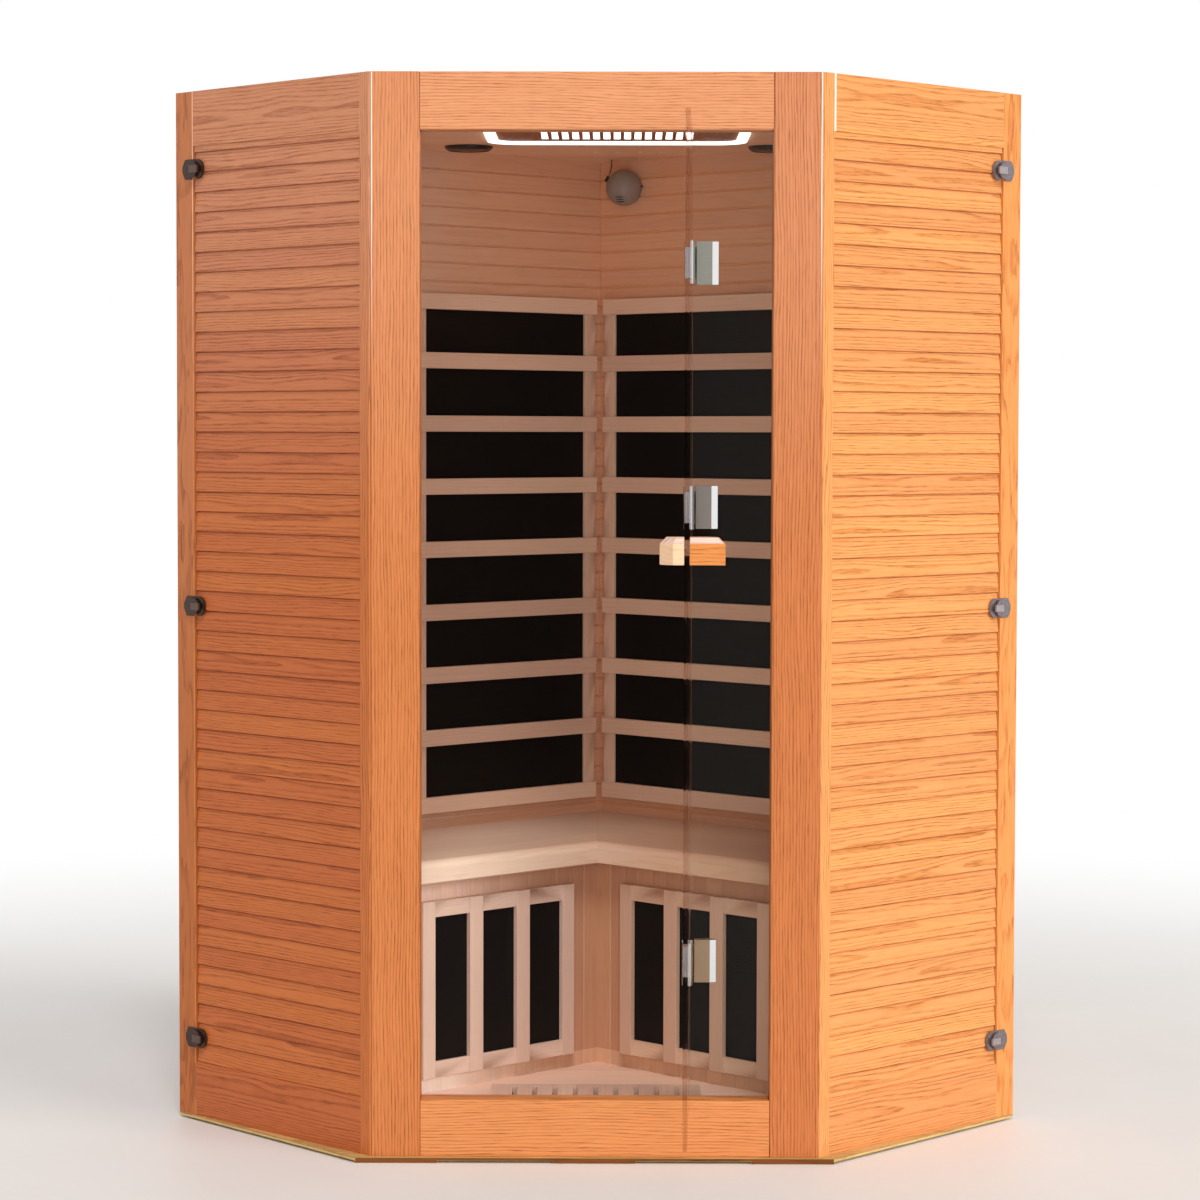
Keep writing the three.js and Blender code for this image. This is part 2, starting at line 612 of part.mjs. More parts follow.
// Bench: one V-shaped seat with a rounded nose, scored along its mitre
function benchWing() {
  const front = BENCH_DEPTH;
  const [bottom, top] = [benchTop - BENCH_THICKNESS, benchTop];
  const nose = new THREE.Shape();
  nose.moveTo(SEAT_GAP, bottom);
  nose.lineTo(front - ARRIS, bottom);
  nose.lineTo(front, bottom + ARRIS);
  nose.absarc(front - BENCH_NOSE_RADIUS, top - BENCH_NOSE_RADIUS, BENCH_NOSE_RADIUS, 0, Math.PI / 2);
  nose.lineTo(SEAT_GAP, top);
  return moulding(nose, SEAT_GAP, innerWallLength - SEAT_GAP).applyMatrix4(leftWall);
}
const leftWing = geometryOf(solidOf(benchWing()));
const mitreScore = box(-ARRIS / 4, ARRIS / 4, 0, rearY, benchTop - ARRIS / 2, benchTop + 1);
add('bench_seat', cut(join(leftWing, mirrored(leftWing)), mitreScore), paleWood);

// Skirt: upright boards under the bench, and a framed heater on each half
const skirtFace = BENCH_DEPTH - SKIRT_SETBACK;
const benchBottom = benchTop - BENCH_THICKNESS;
const skirtEnd = innerWallLength - SEAT_GAP;

function skirtWing() {
  const inner = skirtFace - SKIRT_THICKNESS;
  const slope = GROOVE_WIDTH / 2 / GROOVE_DEPTH;
  const mouth = (GROOVE_DEPTH + 1) * slope;
  const grooves = [];
  for (let x = skirtFace + BOARD_PITCH; x < skirtEnd; x += BOARD_PITCH) {
    grooves.push(prism([[x, skirtFace - GROOVE_DEPTH], [x - mouth, skirtFace + 1],
      [x + mouth, skirtFace + 1]], floorTop - 1, benchBottom + 1));
  }
  const board = box(inner, skirtEnd, inner, skirtFace, floorTop, benchBottom);
  return cut(board, ...grooves).applyMatrix4(leftWall);
}
const leftSkirt = skirtWing();
add('bench_skirt', join(leftSkirt, mirrored(leftSkirt)), paleWood);

const frameStart = skirtFace + SKIRT_FRAME_CORNER_GAP;
const frameEnd = frameStart + 2 * SKIRT_END_STILE + SKIRT_WINDOWS * SKIRT_WINDOW_WIDTH
  + (SKIRT_WINDOWS - 1) * SKIRT_MIDDLE_STILE;
const frameBottom = floorTop + SKIRT_FRAME_RISE;
const frameTop = frameBottom + SKIRT_FRAME_HEIGHT;
const frameBack = skirtFace + SEAT_GAP;
const heaterRim = SKIRT_END_STILE / 2;

// Framed heater: stiles stand a step proud of the rails, the heater lies in the rebate behind them
function skirtFrame() {
  const railFront = frameBack + SKIRT_FRAME_DEPTH - SKIRT_STILE_STEP;
  const pieces = [
    box(frameStart, frameEnd, frameBack, railFront, frameBottom, frameBottom + SKIRT_RAIL),
    box(frameStart, frameEnd, frameBack, railFront, frameTop - SKIRT_RAIL, frameTop),
  ];
  let x = frameStart;
  for (let i = 0; i <= SKIRT_WINDOWS; i += 1) {
    const width = i === 0 || i === SKIRT_WINDOWS ? SKIRT_END_STILE : SKIRT_MIDDLE_STILE;
    pieces.push(box(x, x + width, frameBack, frameBack + SKIRT_FRAME_DEPTH, frameBottom, frameTop));
    x += width + SKIRT_WINDOW_WIDTH;
  }
  const rebate = box(frameStart + heaterRim, frameEnd - heaterRim, frameBack - 1,
    frameBack + SKIRT_HEATER_THICKNESS + SEAT_GAP, frameBottom + heaterRim, frameTop - heaterRim);
  return cut(join(...pieces), rebate).applyMatrix4(leftWall);
}
addPair('skirt_frame', skirtFrame(), paleWood);
addPair('skirt_heater', geometryOf(solidOf(box(
  frameStart + heaterRim + SEAT_GAP, frameEnd - heaterRim - SEAT_GAP, frameBack,
  frameBack + SKIRT_HEATER_THICKNESS, frameBottom + heaterRim + SEAT_GAP,
  frameTop - heaterRim - SEAT_GAP))).applyMatrix4(leftWall), heaterBlack);

// Back heaters and the ladder guards over them: rails stand proud of the stiles
const guardBottom = benchTop + GUARD_ABOVE_BENCH;
const guardTop = guardBottom + GUARD_HEIGHT;
const heaterStart = GUARD_CORNER_GAP + GUARD_STILE_WIDTH;
const heaterEnd = heaterStart + HEATER_WIDTH;
const guardEnd = heaterEnd + GUARD_STILE_WIDTH;

function heaterGuard() {
  const overHeater = HEATER_THICKNESS + 2 * SEAT_GAP;
  const rail = (bottom) => box(GUARD_CORNER_GAP, guardEnd, overHeater, GUARD_RAIL_DEPTH,
    bottom, bottom + GUARD_RAIL_WIDTH);
  const stile = (x) => box(x, x + GUARD_STILE_WIDTH - SEAT_GAP, SEAT_GAP, GUARD_STILE_DEPTH,
    guardBottom, guardTop);
  const rails = [rail(guardBottom), rail(guardTop - GUARD_RAIL_WIDTH)];
  const first = guardTop - 2 * GUARD_RAIL_WIDTH - GUARD_TOP_OPENING;
  for (let i = 0; i < GUARD_MIDDLE_RAILS; i += 1) {
    rails.push(rail(first - i * GUARD_PITCH));
  }
  return join(stile(GUARD_CORNER_GAP), stile(heaterEnd + SEAT_GAP), ...rails).applyMatrix4(leftWall);
}
addPair('heater_guard', heaterGuard(), paleWood);
addPair('back_heater', geometryOf(solidOf(box(heaterStart, heaterEnd, SEAT_GAP,
  SEAT_GAP + HEATER_THICKNESS, guardBottom + ARRIS, guardTop - ARRIS))).applyMatrix4(leftWall), heaterBlack);

// Ceiling panel: pocket for the light tray, holes for speakers and vents
const lightY = frontY + LIGHT_CENTRE_SETBACK;
const speakerFromWall = SPEAKER_RADIUS + SPEAKER_WALL_CLEARANCE;
const speakerY = innerCornerY - SPEAKER_RIGHT_X - speakerFromWall * Math.SQRT2;
const ceilingTop = ceilingZ + CEILING_THICKNESS;
const speakers = { left: SPEAKER_LEFT_X, right: SPEAKER_RIGHT_X };

function ceilingPanel() {
  const tools = [prism(roundedRectangle(LIGHT_SIZE + 2 * SEAT_GAP, LIGHT_SIZE + 2 * SEAT_GAP,
    LIGHT_CORNER_RADIUS, LIGHT_CENTRE_X, lightY), ceilingZ - 1, ceilingZ + LIGHT_POCKET)];
  for (const x of Object.values(speakers)) {
    tools.push(postRod(SPEAKER_BASKET_RADIUS + SEAT_GAP, ceilingZ - 1, ceilingTop + 1, x, speakerY, 20));
  }
  for (let i = 0; i < VENT_COUNT; i += 1) {
    const x = LIGHT_CENTRE_X + (i - (VENT_COUNT - 1) / 2) * VENT_PITCH;
    tools.push(postRod(VENT_RADIUS, ceilingZ - 1, ceilingTop + 1, x, innerCornerY - VENT_FROM_CORNER, 10));
  }
  return cut(prism(cabinPlan(PANEL_THICKNESS + SEAT_GAP), ceilingZ, ceilingTop), ...tools);
}
add('ceiling_panel', ceilingPanel(), paleWood);

// Light tray: a diffuser whose rim drops below the ceiling as a bright band
const trayBottom = ceilingZ + LIGHT_POCKET - LIGHT_TRAY;
const bandBottom = ceilingZ - LIGHT_BAND_DROP;
const insetSize = LIGHT_SIZE - 2 * LIGHT_BAND;
const insetRadius = LIGHT_CORNER_RADIUS - LIGHT_BAND;
add('ceiling_light', cut(
  prism(roundedRectangle(LIGHT_SIZE, LIGHT_SIZE, LIGHT_CORNER_RADIUS, LIGHT_CENTRE_X, lightY),
    bandBottom, ceilingZ + LIGHT_POCKET - SEAT_GAP),
  prism(roundedRectangle(insetSize, insetSize, insetRadius, LIGHT_CENTRE_X, lightY),
    bandBottom - 1, trayBottom),
), lampWhite);

// Louvre: a timber insert inside the bright band, with a stepped panel of slots
function lightLouvre() {
  const insert = insetSize - 2 * SEAT_GAP;
  const outline = roundedRectangle(insert, insert, insetRadius - SEAT_GAP, LIGHT_CENTRE_X, lightY);
  const top = trayBottom - SEAT_GAP;
  const plate = prism(outline, ceilingZ, top);
  const [halfWidth, halfLength] = [LOUVRE_WIDTH / 2, LOUVRE_LENGTH / 2];
  const step = box(LIGHT_CENTRE_X - halfWidth, LIGHT_CENTRE_X + halfWidth, lightY - halfLength,
    lightY + halfLength, ceilingZ - LOUVRE_STEP, top);
  const slots = [];
  for (let i = 0; i < LOUVRE_SLOTS; i += 1) {
    const x = LIGHT_CENTRE_X + (i - (LOUVRE_SLOTS - 1) / 2) * LOUVRE_PITCH;
    slots.push(box(x - LOUVRE_SLOT_WIDTH / 2, x + LOUVRE_SLOT_WIDTH / 2,
      lightY - halfLength + LOUVRE_END_BORDER, lightY + halfLength - LOUVRE_END_BORDER,
      ceilingZ - LOUVRE_STEP - 1, top + 1));
  }
  return cut(join(plate, step), ...slots);
}
add('light_louvre', lightLouvre(), paleWood);

// Speakers: a domed grille in a bezel below the ceiling, the basket through it
function speaker(x) {
  const rings = 4;
  const sphere = (SPEAKER_BASKET_RADIUS ** 2 + SPEAKER_DOME_RISE ** 2) / (2 * SPEAKER_DOME_RISE);
  const dome = Array.from({ length: rings + 1 }, (_, i) => {
    const radius = SPEAKER_BASKET_RADIUS * i / rings;
    return [radius, -SPEAKER_DROP + sphere - Math.sqrt(sphere ** 2 - radius ** 2)];
  });
  const profile = [...dome, [SPEAKER_BASKET_RADIUS + SPEAKER_RIM, -SPEAKER_DROP + SPEAKER_RIM],
    [SPEAKER_RADIUS - SPEAKER_RIM, -SPEAKER_DROP / 2], [SPEAKER_RADIUS, -SPEAKER_RIM],
    [SPEAKER_RADIUS, -SEAT_GAP], [SPEAKER_BASKET_RADIUS, -SEAT_GAP],
    [SPEAKER_BASKET_RADIUS, CEILING_THICKNESS], [SPEAKER_BASKET_RADIUS / 2, SPEAKER_BASKET_HEIGHT],
    [0, SPEAKER_BASKET_HEIGHT]];
  const lathe = new THREE.LatheGeometry(profile.map(([r, z]) => new THREE.Vector2(r, z)), 20);
  return geometryOf(solidOf(lathe.rotateX(Math.PI / 2).translate(x, speakerY, ceilingZ)));
}
for (const [place, x] of Object.entries(speakers)) {
  add(`speaker_${place}`, speaker(x), speakerBlack);
}

// Power unit on the roof, with the gland for its supply
function powerBox() {
  const y = frontY + POWER_BOX_SETBACK;
  const middle = ceilingTop + POWER_BOX_HEIGHT / 2;
  const [front, back] = [y - POWER_BOX_LENGTH / 2, y + POWER_BOX_LENGTH / 2];
  const shell = prism(roundedRectangle(POWER_BOX_WIDTH, POWER_BOX_LENGTH, POWER_BOX_CORNER, 0, y),
    ceilingTop, ceilingTop + POWER_BOX_HEIGHT);
  const gland = pegRod(GLAND_RADIUS, y, back + GLAND_LENGTH, 0, middle);
  const vents = Array.from({ length: POWER_VENT_COUNT }, (_, i) => {
    const x = (i - (POWER_VENT_COUNT - 1) / 2) * POWER_VENT_PITCH;
    return box(x - POWER_VENT_WIDTH / 2, x + POWER_VENT_WIDTH / 2, front - 1, front + POWER_VENT_DEPTH,
      middle - POWER_VENT_HEIGHT / 2, middle + POWER_VENT_HEIGHT / 2);
  });
  return cut(join(shell, gland), ...vents);
}
add('power_box', powerBox(), paintedSteel);

// Ioniser: a ball-shaped housing flattened on the wall, slit low down, with its lead up to the ceiling
function ioniser() {
  const rings = 8;
  const front = IONISER_STANDOFF + IONISER_RADIUS;
  const foot = -Math.asin((IONISER_STANDOFF - SEAT_GAP) / IONISER_RADIUS);
  const dome = Array.from({ length: rings }, (_, i) => {
    const angle = foot + (Math.PI / 2 - foot) * i / rings;
    return [IONISER_RADIUS * Math.cos(angle), IONISER_STANDOFF + IONISER_RADIUS * Math.sin(angle)];
  });
  const profile = [[0, SEAT_GAP], ...dome, [0, front]];
  const lathe = new THREE.LatheGeometry(profile.map(([r, y]) => new THREE.Vector2(r, y)), 20);
  const z = ceilingZ - IONISER_BELOW_CEILING;
  const housing = lathe.translate(IONISER_FROM_CORNER, 0, z);
  const slits = Array.from({ length: IONISER_SLIT_COUNT }, (_, i) => {
    const top = z - IONISER_SLIT_DROP - i * IONISER_SLIT_PITCH;
    return box(IONISER_FROM_CORNER - IONISER_SLIT_LENGTH / 2, IONISER_FROM_CORNER + IONISER_SLIT_LENGTH / 2,
      front - IONISER_SLIT_DEPTH, front + 1, top - IONISER_SLIT_HEIGHT, top);
  });
  const flank = Math.sqrt(IONISER_RADIUS ** 2 - PLUG_RISE ** 2);
  const plugX = IONISER_FROM_CORNER - flank;
  const plugZ = z + PLUG_RISE;
  const plug = pegRod(PLUG_RADIUS, PLUG_START, PLUG_START + PLUG_LENGTH, plugX, plugZ, 10);
  const plugMiddle = PLUG_START + PLUG_LENGTH / 2;
  const leadX = plugX + LEAD_SWAY;
  const leadRise = ceilingZ - SEAT_GAP - plugZ;
  const route = new THREE.CatmullRomCurve3([
    new THREE.Vector3(plugX, plugMiddle, plugZ),
    new THREE.Vector3(leadX, plugMiddle, plugZ + leadRise / 4),
    new THREE.Vector3(leadX, (plugMiddle + LEAD_STANDOFF) / 2, plugZ + leadRise / 2),
    new THREE.Vector3(leadX, LEAD_STANDOFF, plugZ + leadRise),
  ]);
  const section = new THREE.Shape().absarc(0, 0, LEAD_RADIUS, 0, Math.PI * 2);
  const lead = new THREE.ExtrudeGeometry(section, { steps: 8, curveSegments: 3, extrudePath: route });
  const knob = new THREE.CylinderGeometry(IONISER_KNOB_RADIUS, IONISER_KNOB_RADIUS, IONISER_KNOB_LENGTH, 10)
    .rotateZ(Math.PI / 2).translate(IONISER_FROM_CORNER + IONISER_RADIUS, IONISER_STANDOFF, z);
  return mirrored(join(cut(housing, ...slits), plug, lead, knob).applyMatrix4(leftWall));
}
add('ioniser', ioniser(), greyPlastic);

// Control panel on the lining of the right side panel: sunk display and a row of keys
function controlPanel() {
  const x = (PANEL_THICKNESS + sideLength) / 2;
  const z = floorTop + CONTROL_RISE;
  const [back, front] = [PANEL_THICKNESS + SEAT_GAP, PANEL_THICKNESS + SEAT_GAP + CONTROL_THICKNESS];
  const plate = slab(roundedRectangle(CONTROL_WIDTH, CONTROL_HEIGHT, CONTROL_CORNER, x, z), back, front);
  const displayZ = z + CONTROL_DISPLAY_RISE;
  const display = box(x - CONTROL_DISPLAY_WIDTH / 2, x + CONTROL_DISPLAY_WIDTH / 2,
    front - CONTROL_DISPLAY_DEPTH, front + 1,
    displayZ - CONTROL_DISPLAY_HEIGHT / 2, displayZ + CONTROL_DISPLAY_HEIGHT / 2);
  const keys = Array.from({ length: CONTROL_KEYS }, (_, i) => {
    const offset = (i - (CONTROL_KEYS - 1) / 2) * CONTROL_KEY_PITCH;
    return pegRod(CONTROL_KEY_RADIUS, back, front + CONTROL_KEY_HEIGHT, x + offset, z - CONTROL_KEY_DROP, 10);
  });
  return mirrored(cut(join(plate, ...keys), display).applyMatrix4(leftSide));
}
add('control_panel', controlPanel(), speakerBlack);

// Turn latches across the joint of side panel and back wall, at three heights on each side.
// Drawn in the side panel's frame about the pivot: x to the front, -y out of the panel.
const latchFace = -SEAT_GAP - LATCH_PLATE;
const bossFace = latchFace - LATCH_BOSS_HEIGHT;
const camBack = bossFace - SEAT_GAP;
const camFront = camBack - CAM_THICKNESS;
const latchHalf = LATCH_HEIGHT / 2;
const towardsKeeper = Math.PI;
const catchHalf = THREE.MathUtils.degToRad(CATCH_ANGLE);

function latchBody() {
  const end = LATCH_BODY_LENGTH - LATCH_PIVOT;
  const start = -LATCH_PIVOT + SEAT_GAP;
  const outline = new THREE.Shape();
  outline.moveTo(start, -latchHalf);
  outline.absarc(end - latchHalf, 0, latchHalf, -Math.PI / 2, 0);
  outline.absarc(end - latchHalf, 0, latchHalf, 0, Math.PI / 2);
  outline.lineTo(start, latchHalf);
  const plate = slab(outline, latchFace, SLAT_RECESS - SEAT_GAP);
  const boss = pegRod(LATCH_BOSS_RADIUS, bossFace, latchFace + 1, 0, 0);
  const bore = pegRod(LATCH_PIN_RADIUS + SEAT_GAP, bossFace - 1, SLAT_RECESS + 1, 0, 0, 12);
  return cut(join(plate, boss), bore);
}

function latchKeeper() {
  const start = -LATCH_PIVOT - SEAT_GAP;
  const tip = -LATCH_PIVOT - LATCH_KEEPER_LENGTH;
  const shoulder = tip + LATCH_KEEPER_TAPER;
  const tipHalf = LATCH_KEEPER_TIP / 2;
  const plate = slab([[start, -latchHalf], [start, latchHalf], [shoulder, latchHalf],
    [tip, tipHalf], [tip, -tipHalf], [shoulder, -latchHalf]], latchFace, -SEAT_GAP);
  const ridge = slab(ringSector(CATCH_RADIUS - CATCH_WIDTH, CATCH_RADIUS, towardsKeeper, catchHalf),
    bossFace, latchFace + LATCH_PLATE / 2);
  return join(plate, ridge);
}

// Eccentric cam: its lip hooks behind the keeper's ridge and clears it after half a turn
function latchCam() {
  const disc = pegRod(CAM_RADIUS, camFront, camBack, -CAM_OFFSET, 0, 24);
  const lipStart = CATCH_RADIUS + 2 * SEAT_GAP;
  const lip = slab(ringSector(lipStart, lipStart + CATCH_WIDTH, towardsKeeper, catchHalf),
    camBack - 1, latchFace - SEAT_GAP);
  const tabStart = -LATCH_PIVOT + ARRIS / 2;
  const tab = box(tabStart, tabStart + CAM_TAB_LENGTH, camFront - CAM_TAB_HEIGHT, camFront + 1,
    -CAM_TAB_WIDTH / 2, CAM_TAB_WIDTH / 2);
  const pin = pegRod(LATCH_PIN_RADIUS, camBack - 1, SLAT_RECESS - SEAT_GAP, 0, 0, 12);
  const scoreEnd = tabStart - 2 * CAM_SCORE_WIDTH;
  const score = box(scoreEnd - CAM_SCORE_WIDTH, scoreEnd, camFront - 1, camFront + CAM_SCORE_DEPTH,
    -CAM_TAB_WIDTH / 2, CAM_TAB_WIDTH / 2);
  return cut(join(disc, lip, tab, pin), score);
}

const latchLevels = {
  top: wallTop - LATCH_TOP_DROP,
  middle: baseTop + LATCH_MIDDLE_RISE,
  bottom: baseTop + LATCH_BOTTOM_RISE,
};
for (const [place, level] of Object.entries(latchLevels)) {
  const seat = leftSide.clone().multiply(
    new THREE.Matrix4().makeTranslation(PANEL_THICKNESS + LATCH_PIVOT, 0, level));
  addPair(`latch_body_${place}`, latchBody().applyMatrix4(seat), darkBronze);
  addPair(`latch_keeper_${place}`, latchKeeper().applyMatrix4(seat), darkBronze);
  addPair(`latch_cam_${place}`, latchCam().applyMatrix4(seat), darkBronze);
}

export default cabin;
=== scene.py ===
"""Looks of a corner infrared sauna cabin: stained slatted timber outside, pale hemlock inside."""
import json
import math

import bmesh
import bpy
from mathutils import Euler, Matrix, Vector


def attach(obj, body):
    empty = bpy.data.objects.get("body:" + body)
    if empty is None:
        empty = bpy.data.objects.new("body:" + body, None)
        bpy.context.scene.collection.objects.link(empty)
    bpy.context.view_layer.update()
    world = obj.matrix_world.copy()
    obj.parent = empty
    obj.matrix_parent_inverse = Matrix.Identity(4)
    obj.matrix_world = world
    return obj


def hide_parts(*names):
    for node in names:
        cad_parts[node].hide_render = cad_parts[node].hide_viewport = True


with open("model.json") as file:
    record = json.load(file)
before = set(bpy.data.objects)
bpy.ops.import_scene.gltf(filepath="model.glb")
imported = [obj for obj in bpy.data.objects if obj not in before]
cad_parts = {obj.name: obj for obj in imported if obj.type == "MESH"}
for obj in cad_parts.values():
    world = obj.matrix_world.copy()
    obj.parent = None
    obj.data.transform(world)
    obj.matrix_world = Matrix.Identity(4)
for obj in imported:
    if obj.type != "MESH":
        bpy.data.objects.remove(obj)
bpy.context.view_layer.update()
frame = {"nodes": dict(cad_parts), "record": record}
scene = bpy.context.scene
scene.view_settings.view_transform = "Standard"

# Camera: stands six metres off at chest height and looks slightly down at the doorway,
# through a long lens, so that the two slatted sides fall away evenly.
EYE = (0.0407, -6.3927, 1.2771)
EYE_YAW, EYE_PITCH, EYE_ROLL = (math.radians(a) for a in (-0.328, 2.854, 0.130))
lens = bpy.data.cameras.new("eye")
lens.lens, lens.sensor_width = 100.425, 36.0
lens.clip_end = 60
eye = bpy.data.objects.new("eye", lens)
eye.matrix_world = (
    Matrix.Translation(EYE)
    @ Euler((math.pi / 2 - EYE_PITCH, 0, -EYE_YAW)).to_matrix().to_4x4()
    @ Matrix.Rotation(EYE_ROLL, 4, "Z")
)
scene.collection.objects.link(eye)
scene.camera = eye


# Studio: a pale floor that fades to white away from the cabin, even light from all round, a broad
# key from the right, a skylight over the front and a soft lamp that reaches in at the doorway.
def stitch(tree, kind, inputs=None, **settings):
    """Adds a node to a tree; each input is a plain value or an earlier node's output."""
    node = tree.nodes.new(kind)
    for name, value in settings.items():
        setattr(node, name, value)
    for name, value in (inputs or {}).items():
        if isinstance(value, bpy.types.NodeSocket):
            tree.links.new(value, node.inputs[name])
        else:
            node.inputs[name].default_value = value
    return node


def reckon(tree, operation, *values):
    """Result of one sum on numbers or sockets."""
    node = stitch(tree, "ShaderNodeMath", dict(enumerate(values)), operation=operation)
    return node.outputs[0]


def seen_rays(tree):
    """One for rays that show the white surround: from the eye, off gloss or through glass."""
    path = stitch(tree, "ShaderNodeLightPath").outputs
    gloss = reckon(tree, "MAXIMUM", path["Is Glossy Ray"], path["Is Transmission Ray"])
    return reckon(tree, "MAXIMUM", path["Is Camera Ray"], gloss)


ROOM_LIGHT = 0.35
world = bpy.data.worlds.new("studio")
scene.world = world
world.use_nodes = True
world.node_tree.nodes.clear()
surround = stitch(world.node_tree, "ShaderNodeBackground", {"Color": (1, 1, 1, 1), "Strength": 1.0})
ambient = stitch(world.node_tree, "ShaderNodeBackground",
                 {"Color": (1.0, 0.985, 0.965, 1), "Strength": ROOM_LIGHT})
studio = stitch(world.node_tree, "ShaderNodeMixShader", {
    0: seen_rays(world.node_tree), 1: ambient.outputs[0], 2: surround.outputs[0]})
stitch(world.node_tree, "ShaderNodeOutputWorld", {"Surface": studio.outputs[0]})

FLOOR_RADIUS, FADE_FROM, FADE_TO = 14.0, 1.3, 4.2
form = bmesh.new()
bmesh.ops.create_circle(form, cap_ends=True, segments=96, radius=FLOOR_RADIUS)
floor_mesh = bpy.data.meshes.new("studio_floor")
form.to_mesh(floor_mesh)
form.free()
studio_floor = bpy.data.objects.new("studio_floor", floor_mesh)
scene.collection.objects.link(studio_floor)
pale_floor = bpy.data.materials.new("pale_floor")
pale_floor.use_nodes = True
tree = pale_floor.node_tree
tree.nodes.clear()
place = stitch(tree, "ShaderNodeTexCoord").outputs["Object"]
away = stitch(tree, "ShaderNodeVectorMath", {0: place}, operation="LENGTH").outputs["Value"]
fade = stitch(tree, "ShaderNodeMapRange", {0: away, 1: FADE_FROM, 2: FADE_TO},
              interpolation_type="SMOOTHSTEP")
cloud = stitch(tree, "ShaderNodeTexNoise", {"Vector": place, "Scale": 1.7, "Detail": 5.0})
tint = stitch(tree, "ShaderNodeMix", {0: cloud.outputs[0], 6: (0.80, 0.785, 0.765, 1),
                                      7: (0.88, 0.87, 0.855, 1)}, data_type="RGBA")
lit = stitch(tree, "ShaderNodeBsdfPrincipled", {"Base Color": tint.outputs[2], "Roughness": 0.55})
white = stitch(tree, "ShaderNodeEmission", {"Color": (1, 1, 1, 1), "Strength": 1.0})
shown = reckon(tree, "MULTIPLY", fade.outputs[0], seen_rays(tree))
ground = stitch(tree, "ShaderNodeMixShader", {0: shown, 1: lit.outputs[0], 2: white.outputs[0]})
stitch(tree, "ShaderNodeOutputMaterial", {"Surface": ground.outputs[0]})
floor_mesh.materials.append(pale_floor)


def lamp(name, kind, strength, place, target, tone, **settings):
    """A studio lamp at a place, aimed at a target."""
    data = bpy.data.lights.new(name, kind)
    data.energy, data.color = strength, tone
    for key, value in settings.items():
        setattr(data, key, value)
    stand = bpy.data.objects.new(name, data)
    stand.location = place
    stand.rotation_mode = "QUATERNION"
    stand.rotation_quaternion = (Vector(target) - Vector(place)).to_track_quat("-Z", "Y")
    stand.visible_glossy = stand.visible_transmission = False
    scene.collection.objects.link(stand)


lamp("key", "SUN", 1.6, (7.5, -5.5, 3.0), (0, 0, 0), (1.0, 0.97, 0.92), angle=math.radians(28))
lamp("skylight", "SUN", 1.3, (0.4, -5.7, 8.2), (0, 0, 0), (1.0, 0.97, 0.96), angle=math.radians(16))
lamp("doorway_fill", "AREA", 85, (0.3, -6.2, 1.3), (0.0, 0.0, 0.9), (1.0, 0.97, 0.95), size=2.4)


# Base plate: a thin plywood sheet, sawn to the plan and flared at the two front corners.
# Three darker softwood runners under it lift the cabin off the floor.
def paint(code):
    """Linear colour of a six-digit screen colour."""
    parts = [int(code[i:i + 2], 16) / 255 for i in (0, 2, 4)]
    linear = [c / 12.92 if c <= 0.04045 else ((c + 0.055) / 1.055) ** 2.4 for c in parts]
    return (*linear, 1.0)


def blended(tree, share, first, second):
    """A colour between two others."""
    return stitch(tree, "ShaderNodeMix", {0: share, 6: first, 7: second}, data_type="RGBA").outputs[2]


def bare_finish(name):
    """A new material with an empty tree, and the place on the piece that its patterns follow."""
    finish = bpy.data.materials.new(name)
    finish.use_nodes = True
    tree = finish.node_tree
    tree.nodes.clear()
    return finish, tree, stitch(tree, "ShaderNodeTexCoord").outputs["Object"]


def cloudy(tree, place, scale, detail):
    """Even noise over a surface."""
    return stitch(tree, "ShaderNodeTexNoise", {"Vector": place, "Scale": scale, "Detail": detail}).outputs[0]


def effect(name, inputs, outputs):
    """An empty shader group with named sockets, and its two end nodes."""
    group = bpy.data.node_groups.new(name, "ShaderNodeTree")
    kinds = {"f": "NodeSocketFloat", "v": "NodeSocketVector", "c": "NodeSocketColor"}
    for socket, kind in inputs.items():
        group.interface.new_socket(socket, in_out="INPUT", socket_type=kinds[kind])
    for socket, kind in outputs.items():
        group.interface.new_socket(socket, in_out="OUTPUT", socket_type=kinds[kind])
    return group, stitch(group, "NodeGroupInput").outputs, stitch(group, "NodeGroupOutput")


def stretched(group, place, along, across):
    """A place with the grain direction and the two cross directions scaled apart."""
    node = stitch(group, "ShaderNodeVectorMath", {0: place, 1: (along, across, across)}, operation="MULTIPLY")
    return node.outputs[0]


SEED_STRIDE, LOG_OFFSET, LOG_LENGTH, LOG_DEPTH = 61.7, 0.05, 9.0, 3.0


